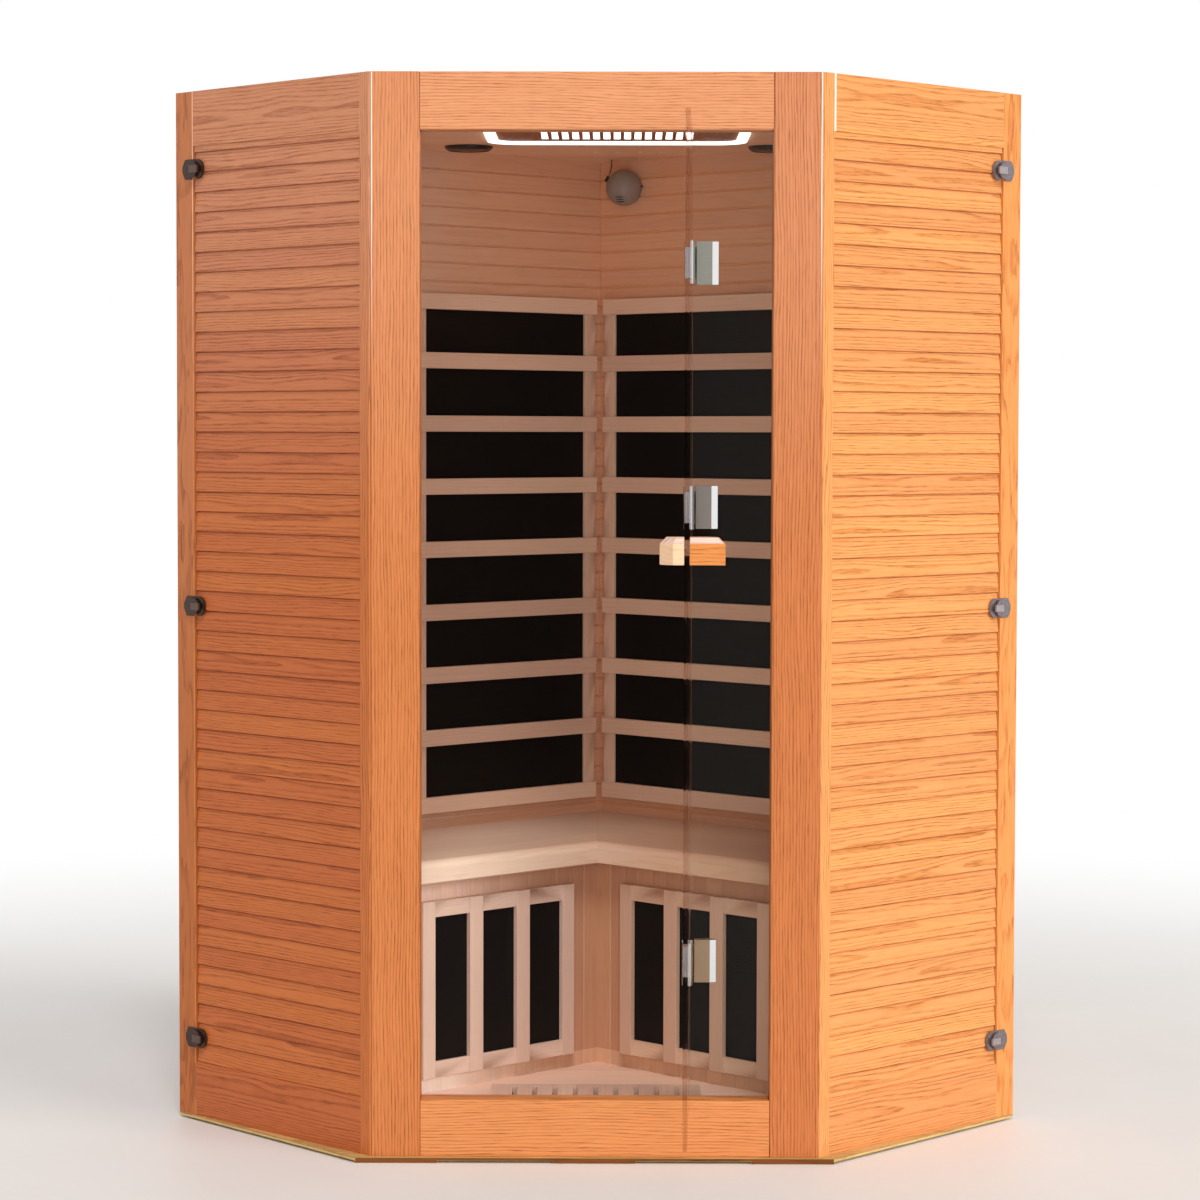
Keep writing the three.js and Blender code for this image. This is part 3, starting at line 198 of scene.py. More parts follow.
def board_courses():
    """Splits a surface into boards side by side, each with its own number and its own log."""
    group, given, made = effect("board_courses", {"Position": "v", "Start": "f", "Pitch": "f", "Seed": "f"},
                                {"Position": "v", "Board": "f"})
    axes = stitch(group, "ShaderNodeSeparateXYZ", {0: given["Position"]}).outputs
    course = reckon(group, "DIVIDE", reckon(group, "SUBTRACT", axes[1], given["Start"]), given["Pitch"])
    number = reckon(group, "FLOOR", course)
    key = reckon(group, "MULTIPLY_ADD", given["Seed"], SEED_STRIDE, number)
    dice = stitch(group, "ShaderNodeTexWhiteNoise", {"W": key}, noise_dimensions="1D").outputs
    middle = reckon(group, "MULTIPLY_ADD", reckon(group, "ADD", number, 0.5), given["Pitch"], given["Start"])
    throws = stitch(group, "ShaderNodeSeparateXYZ", {0: dice["Color"]}).outputs
    across = reckon(group, "SUBTRACT", axes[1], middle)
    off_heart = reckon(group, "MULTIPLY_ADD", reckon(group, "SUBTRACT", throws[1], 0.5), LOG_OFFSET, across)
    along = reckon(group, "MULTIPLY_ADD", throws[0], LOG_LENGTH, axes[0])
    deep = reckon(group, "MULTIPLY_ADD", throws[2], LOG_DEPTH, axes[2])
    local = stitch(group, "ShaderNodeCombineXYZ", {0: along, 1: off_heart, 2: deep}).outputs[0]
    group.links.new(local, made.inputs["Position"])
    group.links.new(dice["Value"], made.inputs["Board"])
    return group


def streaks(group, place, along, across, detail=2.0, **more):
    """Noise drawn out along the grain."""
    inputs = {"Vector": stretched(group, place, along, across), "Scale": 1.0, "Detail": detail, **more}
    return stitch(group, "ShaderNodeTexNoise", inputs).outputs[0]


def timber_figure():
    """Flat-sawn figure: growth rings cut by the face, fine fibre and short dark pores."""
    group, given, made = effect(
        "timber_figure",
        {"Position": "v", "Board": "f", "Early": "c", "Late": "c", "Pore": "c", "Rings": "f", "Heart": "f",
         "Wander": "f", "Lines": "f", "Pores": "f", "Variety": "f"},
        {"Color": "c", "Height": "f", "Roughness": "f"})
    place = given["Position"]
    axes = stitch(group, "ShaderNodeSeparateXYZ", {0: place}).outputs
    sway = streaks(group, place, 1.6, 7.0)
    quiver = streaks(group, place, 7.0, 46.0)
    bend = reckon(group, "MULTIPLY", reckon(group, "SUBTRACT", sway, 0.5), given["Wander"])
    shake = reckon(group, "MULTIPLY", reckon(group, "SUBTRACT", quiver, 0.5),
                   reckon(group, "MULTIPLY", given["Wander"], 0.28))
    across = reckon(group, "ADD", reckon(group, "ADD", axes[1], bend), shake)
    heart = reckon(group, "MULTIPLY_ADD", reckon(group, "SUBTRACT", sway, 0.5), given["Heart"],
                   given["Heart"])
    radius = reckon(group, "SQRT", reckon(group, "ADD", reckon(group, "MULTIPLY", across, across),
                                          reckon(group, "MULTIPLY", heart, heart)))
    phase = reckon(group, "FRACT", reckon(group, "MULTIPLY", radius, given["Rings"]))
    late = stitch(group, "ShaderNodeMapRange", {0: phase, 1: 0.42, 2: 0.9},
                  interpolation_type="SMOOTHSTEP").outputs[0]
    edge = stitch(group, "ShaderNodeMapRange", {0: phase, 1: 1.0, 2: 0.95}).outputs[0]
    patch = streaks(group, place, 4.0, 75.0)
    shown = stitch(group, "ShaderNodeMapRange", {0: patch, 1: 0.34, 2: 0.64, 3: 0.45, 4: 1.0}).outputs[0]
    ring = reckon(group, "MULTIPLY", reckon(group, "MULTIPLY", late, edge), shown)
    fibre = streaks(group, place, 9.0, 330.0, detail=3.0, Roughness=0.6)
    dash = streaks(group, place, 30.0, 640.0, detail=1.0)
    pore = stitch(group, "ShaderNodeMapRange", {0: dash, 1: 0.5, 2: 0.62}).outputs[0]
    streak = reckon(group, "MULTIPLY", reckon(group, "SUBTRACT", fibre, 0.5), 0.9)
    tone = reckon(group, "MULTIPLY_ADD", ring, given["Lines"], reckon(group, "ADD", streak, 0.22))
    tone = stitch(group, "ShaderNodeClamp", {0: tone}).outputs[0]
    body = blended(group, tone, given["Early"], given["Late"])
    depth = reckon(group, "MULTIPLY", pore, reckon(group, "MULTIPLY_ADD", ring, 0.9, 0.2))
    depth = reckon(group, "MULTIPLY", depth, given["Pores"])
    grained = blended(group, depth, body, given["Pore"])
    drift = reckon(group, "MULTIPLY_ADD", reckon(group, "SUBTRACT", sway, 0.5), 0.25,
                   reckon(group, "SUBTRACT", given["Board"], 0.5))
    value = reckon(group, "MULTIPLY_ADD", drift, given["Variety"], 1.0)
    hue = reckon(group, "MULTIPLY_ADD", reckon(group, "SUBTRACT", given["Board"], 0.5),
                 reckon(group, "MULTIPLY", given["Variety"], 0.05), 0.5)
    board = stitch(group, "ShaderNodeHueSaturation", {"Hue": hue, "Value": value, "Color": grained})
    group.links.new(board.outputs[0], made.inputs["Color"])
    relief = reckon(group, "SUBTRACT", reckon(group, "MULTIPLY", fibre, 0.6), depth)
    group.links.new(reckon(group, "MULTIPLY_ADD", ring, 0.25, relief), made.inputs["Height"])
    gloss = reckon(group, "MULTIPLY_ADD", fibre, 0.22, reckon(group, "MULTIPLY", depth, 0.2))
    group.links.new(reckon(group, "ADD", gloss, 0.36), made.inputs["Roughness"])
    return group


COURSES, FIGURE = board_courses(), timber_figure()
UP = Vector((0, 0, 1))
ONE_BOARD, GRAIN_RELIEF = 20.0, 0.00035


def timber(name, tones, along, across, start=-ONE_BOARD / 2, pitch=ONE_BOARD, seed=0.0, rings=210.0,
           heart=0.03, wander=0.05, lines=0.6, pores=0.55, variety=0.16, gloss=0.35, shift=None):
    """A timber finish whose grain runs along one direction, in boards laid side by side across it.

    A shift holds other tones and an axis, and the two places on it between which they take over.
    """
    finish, tree, place = bare_finish(name)
    along, across = Vector(along).normalized(), Vector(across).normalized()
    turn = Matrix((along, across, along.cross(across))).to_euler()
    local = stitch(tree, "ShaderNodeMapping", {"Vector": place, "Rotation": turn})
    courses = stitch(tree, "ShaderNodeGroup", node_tree=COURSES)
    figure = stitch(tree, "ShaderNodeGroup", node_tree=FIGURE)
    tree.links.new(local.outputs[0], courses.inputs["Position"])
    for socket, value in (("Start", start), ("Pitch", pitch), ("Seed", seed)):
        courses.inputs[socket].default_value = value
    for socket in ("Position", "Board"):
        tree.links.new(courses.outputs[socket], figure.inputs[socket])
    if shift:
        beyond, axis, low, high = shift
        spot = stitch(tree, "ShaderNodeSeparateXYZ", {0: place}).outputs["XYZ".index(axis)]
        share = stitch(tree, "ShaderNodeMapRange", {0: spot, 1: low, 2: high},
                       interpolation_type="SMOOTHSTEP").outputs[0]
    for number, socket in enumerate(("Early", "Late", "Pore")):
        if shift:
            blend = blended(tree, share, paint(tones[number]), paint(beyond[number]))
            tree.links.new(blend, figure.inputs[socket])
        else:
            figure.inputs[socket].default_value = paint(tones[number])
    for socket, value in (("Rings", rings), ("Heart", heart), ("Wander", wander), ("Lines", lines),
                          ("Pores", pores), ("Variety", variety)):
        figure.inputs[socket].default_value = value
    bump = stitch(tree, "ShaderNodeBump",
                  {"Strength": 0.6, "Distance": GRAIN_RELIEF, "Height": figure.outputs["Height"]})
    skin = stitch(tree, "ShaderNodeBsdfPrincipled", {
        "Base Color": figure.outputs["Color"], "Roughness": figure.outputs["Roughness"],
        "Normal": bump.outputs[0], "Specular IOR Level": gloss})
    stitch(tree, "ShaderNodeOutputMaterial", {"Surface": skin.outputs[0]})
    return finish


BODY_OF = {node: body for body, nodes in frame["record"]["behaviour"]["bodies"].items() for node in nodes}


def settle(piece, slot, *nodes):
    """Puts a finished piece in place of its solids, on their body."""
    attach(piece, BODY_OF[nodes[0]])
    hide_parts(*nodes)
    return piece


def dressed(node, slot, finishes, pick=None, cuts=(), ease=0.0009, corner=38, smooth=52):
    """A copy of a solid in whole faces, with its outer arrises eased and a finish for each face."""
    form = bmesh.new()
    form.from_mesh(frame["nodes"][node].data)
    bmesh.ops.remove_doubles(form, verts=form.verts, dist=2e-6)
    bmesh.ops.dissolve_limit(form, angle_limit=math.radians(0.6), verts=form.verts, edges=form.edges)
    for point, normal in cuts:
        whole = form.verts[:] + form.edges[:] + form.faces[:]
        bmesh.ops.bisect_plane(form, geom=whole, dist=1e-6, plane_co=point, plane_no=normal)
    form.normal_update()
    for face in form.faces:
        face.material_index = pick(face.calc_center_median(), face.normal) if pick else 0
    sharp = [e for e in form.edges if len(e.link_faces) == 2 and e.is_convex
             and e.calc_face_angle() > math.radians(corner)]
    if ease and sharp:
        bmesh.ops.bevel(form, geom=sharp, offset=ease, offset_type="OFFSET", segments=2, profile=0.5,
                        affect="EDGES", clamp_overlap=True)
    mesh = bpy.data.meshes.new(f"{node}_finished")
    form.to_mesh(mesh)
    form.free()
    for finish in finishes:
        mesh.materials.append(finish)
    mesh.shade_smooth()
    mesh.set_sharp_from_angle(angle=math.radians(smooth))
    piece = bpy.data.objects.new(mesh.name, mesh)
    scene.collection.objects.link(piece)
    even = piece.modifiers.new("even_shading", "WEIGHTED_NORMAL")
    even.keep_sharp = True
    return settle(piece, slot, node)


RUNNER_TOP = 0.0035
plywood_edge = timber("plywood_edge", ("d8b377", "b98f55", "8f6a3a"), (1, 0, 0), UP, start=0.0, pitch=0.002,
                      rings=160, variety=0.5, gloss=0.25)
runner_wood = timber("runner_wood", ("7d4a22", "5f3415", "40220d"), (1, 0, 0), (0, 1, 0), gloss=0.2)
dressed("base_plate", "plywood", [plywood_edge, runner_wood],
        lambda at, facing: int(at.z < RUNNER_TOP), ease=0.0005)

# Floor: hemlock boards between the walls, with a carbon foot heater let into them at the
# doorway and a slatted grille of hemlock laid loose over the heater.
HEMLOCK = ("eccfbd", "dfbca6", "c79f87")
BOARD_PITCH = 0.0365
WIDE_START, WIDE_PITCH = -0.6, 0.092
# Painted light: the floor boards are paler and whiter towards the doorway, and more orange further in.
floor_boards = timber("floor_boards", ("fff0ea", "ffe2da", "eeccc0"), (1, 0, 0), (0, 1, 0), WIDE_START,
                      WIDE_PITCH, seed=3, rings=150, pores=0.2, lines=0.3, variety=0.1, gloss=0.3,
                      shift=(("fad6c0", "f0c4aa", "d6a489"), "Y", -0.45, -0.16))
GRILLE_START, GRILLE_PITCH = -0.185 - BOARD_PITCH, 0.037
grille_wood = timber("grille_wood", ("e2bfab", "d6ae97", "bb8f74"), (0, 1, 0), (1, 0, 0), GRILLE_START,
                     GRILLE_PITCH, seed=4, rings=170, pores=0.2, lines=0.3, gloss=0.3)
dressed("floor_panel", "pale_wood", [floor_boards])
dressed("floor_grille", "pale_wood", [grille_wood], ease=0.0015)


def carbon_sheet():
    """Black carbon-fibre heater film under a matt laminate, with a faint woven relief."""
    finish, tree, place = bare_finish("carbon_sheet")
    weave = cloudy(tree, place, 420.0, 2.0)
    cloud = cloudy(tree, place, 9.0, 3.0)
    tone = blended(tree, weave, paint("0a0a0a"), paint("181717"))
    matt = stitch(tree, "ShaderNodeMapRange", {0: cloud, 3: 0.42, 4: 0.56}).outputs[0]
    bump = stitch(tree, "ShaderNodeBump", {"Strength": 0.25, "Distance": 0.0002, "Height": weave})
    skin = stitch(tree, "ShaderNodeBsdfPrincipled", {"Base Color": tone, "Roughness": matt,
                                                     "Normal": bump.outputs[0], "Specular IOR Level": 0.2})
    stitch(tree, "ShaderNodeOutputMaterial", {"Surface": skin.outputs[0]})
    return finish


heater_film = carbon_sheet()
dressed("floor_heater", "heater", [heater_film], ease=0.0006)

# Back walls: hemlock boards laid flat one above the other and tongued together, each joint
# a fine V groove. Outside they are one stained panel whose end shows beside the slats.
WALL_HEMLOCK = ("e8b694", "dba480", "ba825c")
STAINED = ("d1743a", "ae5725", "763410")
# Painted light and shade: outside, the left wall's end is a darker stain than the right's, and the left one
# turns paler towards the top.
END_TONES = {"left": ("c56e38", "a45423", "6e3311"), "right": ("ee9b58", "cd783b", "8c4820")}
END_SHIFT = {"left": (("cf7d50", "b0633a", "7a3e1e"), "Z", 0.6, 1.4), "right": None}
# Painted light: inside, the left wall's boards are paler towards its outer end by the doorway.
PAINTED_LIGHT_END = {"left": ("f3cdb2", "e6ba9c", "c99772"), "right": WALL_HEMLOCK}
# Painted light: the left side's stain turns paler and pinker towards the top.
PAINTED_LIGHT_TOP = (("df9770", "bc7350", "824a30"), "Z", 1.0, 1.85)
HALF = math.sqrt(0.5)
WALL_ALONG = {"left": Vector((-HALF, -HALF, 0)), "right": Vector((HALF, -HALF, 0))}
WALL_INWARD = {"left": Vector((HALF, -HALF, 0)), "right": Vector((-HALF, -HALF, 0))}
INNER_CORNER = Vector((0, 0.51086, 0))
CEILING, LOW_BOARDS = 1.830, 0.53
WALL_HEAD, FIRST_BOARD = CEILING + 0.02, CEILING - 60 * BOARD_PITCH
PLAIN = {"pores": 0.15, "lines": 0.3}
END_ARRIS, MITRE_GAP, HIDDEN_END = 0.0024, 0.0005, 0.012
for seed, (side, along) in enumerate(WALL_ALONG.items()):
    inward = WALL_INWARD[side]
    boards = timber(f"wall_boards_{side}", PAINTED_LIGHT_END[side], along, UP, FIRST_BOARD, BOARD_PITCH,
                    seed=11 + seed, rings=170, variety=0.06, gloss=0.28,
                    shift=(WALL_HEMLOCK, "X", -0.42, -0.2), **PLAIN)
    # Painted light: the boards below LOW_BOARDS, between bench and heater guard, are paler still, fading
    # towards the corner.
    painted_light_low_boards = timber(f"low_boards_{side}", ("fbe6d6", "f2d4c0", "dcb69d"), along, UP, FIRST_BOARD,
                        BOARD_PITCH, seed=15 + seed, rings=170, gloss=0.28,
                        shift=(WALL_HEMLOCK, "X", -0.45, 0.0), **PLAIN)
    veneer = timber(f"wall_outside_{side}", END_TONES[side], UP, along, seed=21 + seed, heart=0.05,
                    shift=END_SHIFT[side])
    wall_reach = max(v.co.dot(along) for v in frame["nodes"][f"back_wall_{side}"].data.vertices)
    # A painted highlight on the arris of the left wall's end, pale cream towards the top.
    end_arris_highlight = timber(f"wall_end_{side}", ("d98950", "b96a38", "824420"), UP, along, seed=21 + seed,
                        heart=0.05, shift=(("fbd0ae", "f4bd96", "dc9c70"), "Z", 1.2, 1.75))

    def wall_finish(at, facing, along=along, inward=inward, side=side, wall_reach=wall_reach):
        deep = (at - INNER_CORNER).dot(inward)
        # The strip along the left end's arris carries the painted highlight.
        if side == "left" and facing.dot(along) > 0.7 and -END_ARRIS < deep < 0:
            return 2
        if facing.dot(inward) < 0.3 or at.z > WALL_HEAD or at.dot(along) > wall_reach - HIDDEN_END:
            return 0
        # Boards below LOW_BOARDS take the paler painted-light finish.
        return 1 if at.z > LOW_BOARDS else 3
    cuts = [(along * (wall_reach - HIDDEN_END), along)]
    if side == "left":
        cuts.append((INNER_CORNER - inward * END_ARRIS, inward))
    wall = dressed(f"back_wall_{side}", "pale_wood", [veneer, boards, end_arris_highlight, painted_light_low_boards], wall_finish,
                   cuts, ease=0.0006)
    for corner in wall.data.vertices:
        if abs(corner.co.x) < MITRE_GAP:
            corner.co.x = 0.0

# Side panels: a stained frame outside, its stile beside the front post and its rails above and
# below the slats. The lining inside is of the same grooved hemlock boards as the walls.
SIDE_ALONG = {"left": Vector((HALF, -HALF, 0)), "right": Vector((-HALF, -HALF, 0))}
SIDE_INWARD = {"left": Vector((HALF, HALF, 0)), "right": Vector((-HALF, HALF, 0))}
SIDE_ORIGIN = {"left": Vector((-0.77782, -0.19625, 0)), "right": Vector((0.77782, -0.19625, 0))}
# The right side's stain is brighter and yellower than the left's: painted light on the lit side and painted
# shade on the other.
SIDE_TONES = {"left": STAINED, "right": ("f0a666", "d0813f", "8f4c20")}
SIDE_SHIFT = {"left": PAINTED_LIGHT_TOP, "right": None}
SLAT_END, JOINT_ARRIS, RAIL_LEVEL = 0.51792, 0.0045, CEILING - 0.05
# Near-white tones of the painted highlights on arrises and joints.
PAINTED_HIGHLIGHT = ("fffaf2", "fbeedd", "f0d6bb")
for seed, (side, along) in enumerate(SIDE_ALONG.items()):
    inward, origin = SIDE_INWARD[side], SIDE_ORIGIN[side]
    rail = timber(f"side_rail_{side}", SIDE_TONES[side], along, UP, start=0.01, pitch=0.1, seed=31 + seed,
                  rings=230, wander=0.035, lines=0.7, shift=SIDE_SHIFT[side])
    stile = timber(f"side_stile_{side}", SIDE_TONES[side], UP, along, seed=33 + seed, rings=180, heart=0.06,
                   shift=SIDE_SHIFT[side])
    # A painted highlight on the right side's outer joint of stile and rail, near white at the top.
    joint_highlight = timber(f"side_joint_{side}", SIDE_TONES[side], along, UP, seed=37 + seed, gloss=0.5,
                          shift=(PAINTED_HIGHLIGHT, "Z", 1.70, 1.80))
    lining = timber(f"side_lining_{side}", WALL_HEMLOCK, along, UP, FIRST_BOARD, BOARD_PITCH, seed=35 + seed,
                    rings=170, variety=0.12, gloss=0.28, **PLAIN)

    def side_finish(at, facing, along=along, inward=inward, origin=origin):
        run = (at - origin).dot(along)
        if facing.dot(inward) > 0.3:
            return 2
        outward, at_joint = facing.dot(inward) < -0.5, SLAT_END - JOINT_ARRIS < run < SLAT_END
        # The outer faces of that joint near the top take the painted highlight.
        if along.x < 0 and outward and at_joint and at.z > RAIL_LEVEL:
            return 3
        return int(run > SLAT_END)
    dressed(f"side_panel_{side}", "stained_wood", [rail, stile, lining, joint_highlight], side_finish,
            cuts=[(origin + along * (SLAT_END - run), along) for run in (0.0, JOINT_ARRIS)], ease=0.0008)


# Slats: narrow stained boards lapped up each side panel, every one leaning back towards its top
# with a shadow gap under the next. A last thin strip closes the row below the top rail.
SLAT_PROFILE = ((2.6, 0), (2.0, 0.8), (2.1, 2.2), (5.4, 34.4), (5.8, 34.9), (7.6, 34.9), (7.6, 36.5),
                (13.7, 36.5), (13.7, 0))
STRIP_PROFILE = ((2.6, 0), (2.0, 0.8), (2.0, 10.0), (2.6, 10.6), (13.7, 10.6), (13.7, 0))
SLAT_START, SLAT_BOTTOM, SLAT_COUNT, SEAT_GAP = 0.0526, 0.1103, 46, 0.0003


def row_of_pieces():
    """Geometry tree that repeats a pattern piece at even steps, and lays a last piece at the end."""
    tree = bpy.data.node_groups.new("row_of_pieces", "GeometryNodeTree")
    tree.is_modifier = True
    for socket, kind in (("Pattern", "Object"), ("Last", "Object"), ("Count", "Int"), ("Step", "Vector"),
                         ("Finish", "Material")):
        tree.interface.new_socket(socket, in_out="INPUT", socket_type=f"NodeSocket{kind}")
    tree.interface.new_socket("Geometry", in_out="OUTPUT", socket_type="NodeSocketGeometry")
    given = stitch(tree, "NodeGroupInput").outputs
    line = stitch(tree, "GeometryNodeMeshLine", {"Count": given["Count"], "Offset": given["Step"]},
                  mode="OFFSET")
    pattern = stitch(tree, "GeometryNodeObjectInfo", {"Object": given["Pattern"], "As Instance": True})
    last = stitch(tree, "GeometryNodeObjectInfo", {"Object": given["Last"], "As Instance": True})
    laid = stitch(tree, "GeometryNodeInstanceOnPoints",
                  {"Points": line.outputs[0], "Instance": pattern.outputs["Geometry"]})
    both = stitch(tree, "GeometryNodeJoinGeometry")
    tree.links.new(last.outputs["Geometry"], both.inputs[0])
    tree.links.new(laid.outputs[0], both.inputs[0])
    real = stitch(tree, "GeometryNodeRealizeInstances", {0: both.outputs[0]})
    coat = stitch(tree, "GeometryNodeSetMaterial", {"Geometry": real.outputs[0], "Material": given["Finish"]})
    stitch(tree, "NodeGroupOutput", {"Geometry": coat.outputs[0]})
    return tree


ROW = row_of_pieces()


def swept(name, profile, start, end, origin, along, inward, bottom):
    """A straight moulding: a profile of depths and heights in millimetres, run along a side."""
    form = bmesh.new()
    ends = []
    for run in (start, end):
        ends.append([form.verts.new(origin + along * run + inward * (d / 1000) + UP * (bottom + h / 1000))
                     for d, h in profile])
    count = len(profile)
    for i in range(count):
        j = (i + 1) % count
        form.faces.new((ends[0][i], ends[0][j], ends[1][j], ends[1][i]))
    form.faces.new(ends[0])
    form.faces.new(ends[1])
    bmesh.ops.recalc_face_normals(form, faces=form.faces)
    mesh = bpy.data.meshes.new(name)
    form.to_mesh(mesh)
    form.free()
    mesh.shade_smooth()
    mesh.set_sharp_from_angle(angle=math.radians(30))
    piece = bpy.data.objects.new(name, mesh)
    scene.collection.objects.link(piece)
    return piece


def feed(modifier, values):
    """Sets the named inputs of a Geometry Nodes modifier."""
    for item in modifier.node_group.interface.items_tree:
        if item.in_out == "INPUT":
            modifier[item.identifier] = values[item.name]


def laid_row(name, pattern, last, count, step, finish):
    """A plain mesh of a row, made by the tree from its pattern and last piece."""
    piece = bpy.data.objects.new(name, bpy.data.meshes.new(name))
    scene.collection.objects.link(piece)
    laying = piece.modifiers.new("row", "NODES")
    laying.node_group = ROW
    feed(laying, {"Pattern": pattern, "Last": last, "Count": count, "Step": step, "Finish": finish})
    ready = piece.evaluated_get(bpy.context.evaluated_depsgraph_get())
    mesh = bpy.data.meshes.new_from_object(ready)
    piece.modifiers.remove(laying)
    piece.data = mesh
    for used in (pattern, last):
        bpy.data.objects.remove(used)
    return piece


for seed, (side, along) in enumerate(SIDE_ALONG.items()):
    inward, origin = SIDE_INWARD[side], SIDE_ORIGIN[side]
    slat_wood = timber(f"slat_wood_{side}", SIDE_TONES[side], along, UP, start=SLAT_BOTTOM, pitch=BOARD_PITCH,
                       seed=41 + seed, rings=255, heart=0.02, wander=0.035, lines=0.7, variety=0.1,
                       shift=SIDE_SHIFT[side])
    slat = swept("slat", SLAT_PROFILE, SLAT_START, SLAT_END - SEAT_GAP, origin, along, inward, SLAT_BOTTOM)
    strip = swept("strip", STRIP_PROFILE, SLAT_START, SLAT_END - SEAT_GAP, origin, along, inward,
                  SLAT_BOTTOM + SLAT_COUNT * BOARD_PITCH)
    slats = laid_row(f"side_slats_{side}_boards", slat, strip, SLAT_COUNT, (0, 0, BOARD_PITCH), slat_wood)
    settle(slats, "stained_wood", f"side_slats_{side}")

# Front frame: two stained posts mitred to the side panels, with a header and a threshold
# between them. Each has small chamfers, and the right half is grooved for the fixed pane.
POST_TONES = ("ce7d48", "aa5b2c", "6e3515")
ARRIS_FROM = 0.3882
for seed, (side, way) in enumerate((("left", -1), ("right", 1))):
    # Painted light: the posts turn paler towards the top.
    post_wood = timber(f"post_wood_{side}", POST_TONES, UP, (1, 0, 0), seed=51 + seed, rings=175, heart=0.012,
                       wander=0.03, lines=0.62, shift=(("d68e64", "b46d45", "7a4224"), "Z", 0.9, 1.75))
    # A painted highlight on each post's outer arris, near white towards the top.
    arris_highlight = timber(f"rubbed_arris_{side}", POST_TONES, UP, (1, 0, 0), seed=51 + seed, rings=175,
                          heart=0.012, wander=0.03, lines=0.5, gloss=0.5, shift=(PAINTED_HIGHLIGHT, "Z", 1.34, 1.78))
    dressed(f"front_post_{side}", "stained_wood", [post_wood, arris_highlight],
            lambda at, facing: int(abs(at.x) > ARRIS_FROM and facing.y < -0.3),
            cuts=[(Vector((way * ARRIS_FROM, 0, 0)), Vector((1, 0, 0)))], ease=0.0006)
for seed, rail, tones in ((53, "header", ("dd9a70", "bd7149", "874627")),
                          (54, "threshold", ("db8d57", "ba6a38", "7e4220"))):
    wood = timber(f"{rail}_wood", tones, (1, 0, 0), UP, seed=seed, rings=185, heart=0.012, wander=0.03)
    dressed(f"front_{rail}", "stained_wood", [wood], ease=0.0012)


# Glass: an 8 mm toughened fixed pane in grooves and a door of the same glass, both notched for
# the hinges. The faces are clear and the ground, polished edges faintly tinted.
PANE_IOR, DOOR_IOR, TRAPPED_AFTER = 1.13, 1.001, 3.5


def toughened(name, tone, frost, ior, open_share=0.0):
    """Clear glass that lets light through to what stands behind it."""
    finish, tree, place = bare_finish(name)
    smear = cloudy(tree, place, 5.0, 3.0)
    haze = stitch(tree, "ShaderNodeMapRange",
                  {0: smear, 1: 0.45, 2: 0.8, 3: frost, 4: frost + 0.02}).outputs[0]
    pane = stitch(tree, "ShaderNodeBsdfPrincipled", {
        "Base Color": paint(tone), "Roughness": haze, "Transmission Weight": 1.0, "IOR": ior})
    clear = stitch(tree, "ShaderNodeBsdfTransparent", {"Color": paint(tone)})
    path = stitch(tree, "ShaderNodeLightPath").outputs
    trapped = reckon(tree, "GREATER_THAN", path["Ray Depth"], TRAPPED_AFTER)
    soft = reckon(tree, "MAXIMUM", path["Is Shadow Ray"], path["Is Diffuse Ray"])
    passing = reckon(tree, "MAXIMUM", reckon(tree, "MAXIMUM", soft, trapped), open_share)
    both = stitch(tree, "ShaderNodeMixShader", {0: passing, 1: pane.outputs[0], 2: clear.outputs[0]})
    stitch(tree, "ShaderNodeOutputMaterial", {"Surface": both.outputs[0]})
    return finish


PANE_FACE = math.cos(math.radians(20))
clear_pane = toughened("clear_pane", "f7faf9", 0.0, PANE_IOR)
door_pane = toughened("door_pane", "f7faf9", 0.0, DOOR_IOR)
ground_edge = toughened("ground_edge", "f3edeb", 0.1, PANE_IOR, 0.96)
OPEN_ANGLE = math.radians(88.4)
DOOR_FACE = Vector((-math.sin(OPEN_ANGLE), math.cos(OPEN_ANGLE), 0))
PANE_FRONT = Vector((0, 1, 0))
for node, face, pane in (("fixed_glass", PANE_FRONT, clear_pane), ("door_glass", DOOR_FACE, door_pane)):
    dressed(node, "glass", [pane, ground_edge],
            lambda at, facing, face=face: int(abs(facing.dot(face)) < PANE_FACE), ease=0.0008, smooth=5)


# Glass hinges: pairs of aluminium clamp plates on both faces of each pane, satin-brushed with a
# bright bevel along the far edge, joined by a knuckle and its pin.
def metal(name, dark, light, rough, brushed, relief=0.0001, bare=1.0):
    """Metal with fine brushing or casting grain, a little duller in patches."""
    finish, tree, place = bare_finish(name)
    stretch = stitch(tree, "ShaderNodeMapping", {"Vector": place, "Scale": brushed})
    grain = cloudy(tree, stretch.outputs[0], 1.0, 3.0)
    patch = cloudy(tree, place, 60.0, 2.0)
    tone = blended(tree, grain, paint(dark), paint(light))
    dull = stitch(tree, "ShaderNodeMapRange", {0: patch, 3: rough - 0.06, 4: rough + 0.1}).outputs[0]
    bump = stitch(tree, "ShaderNodeBump", {"Strength": 0.5, "Distance": relief, "Height": grain})
    skin = stitch(tree, "ShaderNodeBsdfPrincipled", {"Base Color": tone, "Roughness": dull, "Metallic": bare,
                                                     "Normal": bump.outputs[0]})
    stitch(tree, "ShaderNodeOutputMaterial", {"Surface": skin.outputs[0]})
    return finish


BRUSHED = (60, 60, 1800)
# The three hinges are one aluminium but each has its own tones, the bottom one brownish: painted light and
# reflection.
LEAF_TONES = {"top": ("8c8a80", "a7a59a"), "middle": ("7e766e", "99908a"), "bottom": ("987e64", "b2987c")}
bright = metal("bright_bevel", "e2e3e3", "f2f2f2", 0.2, BRUSHED)
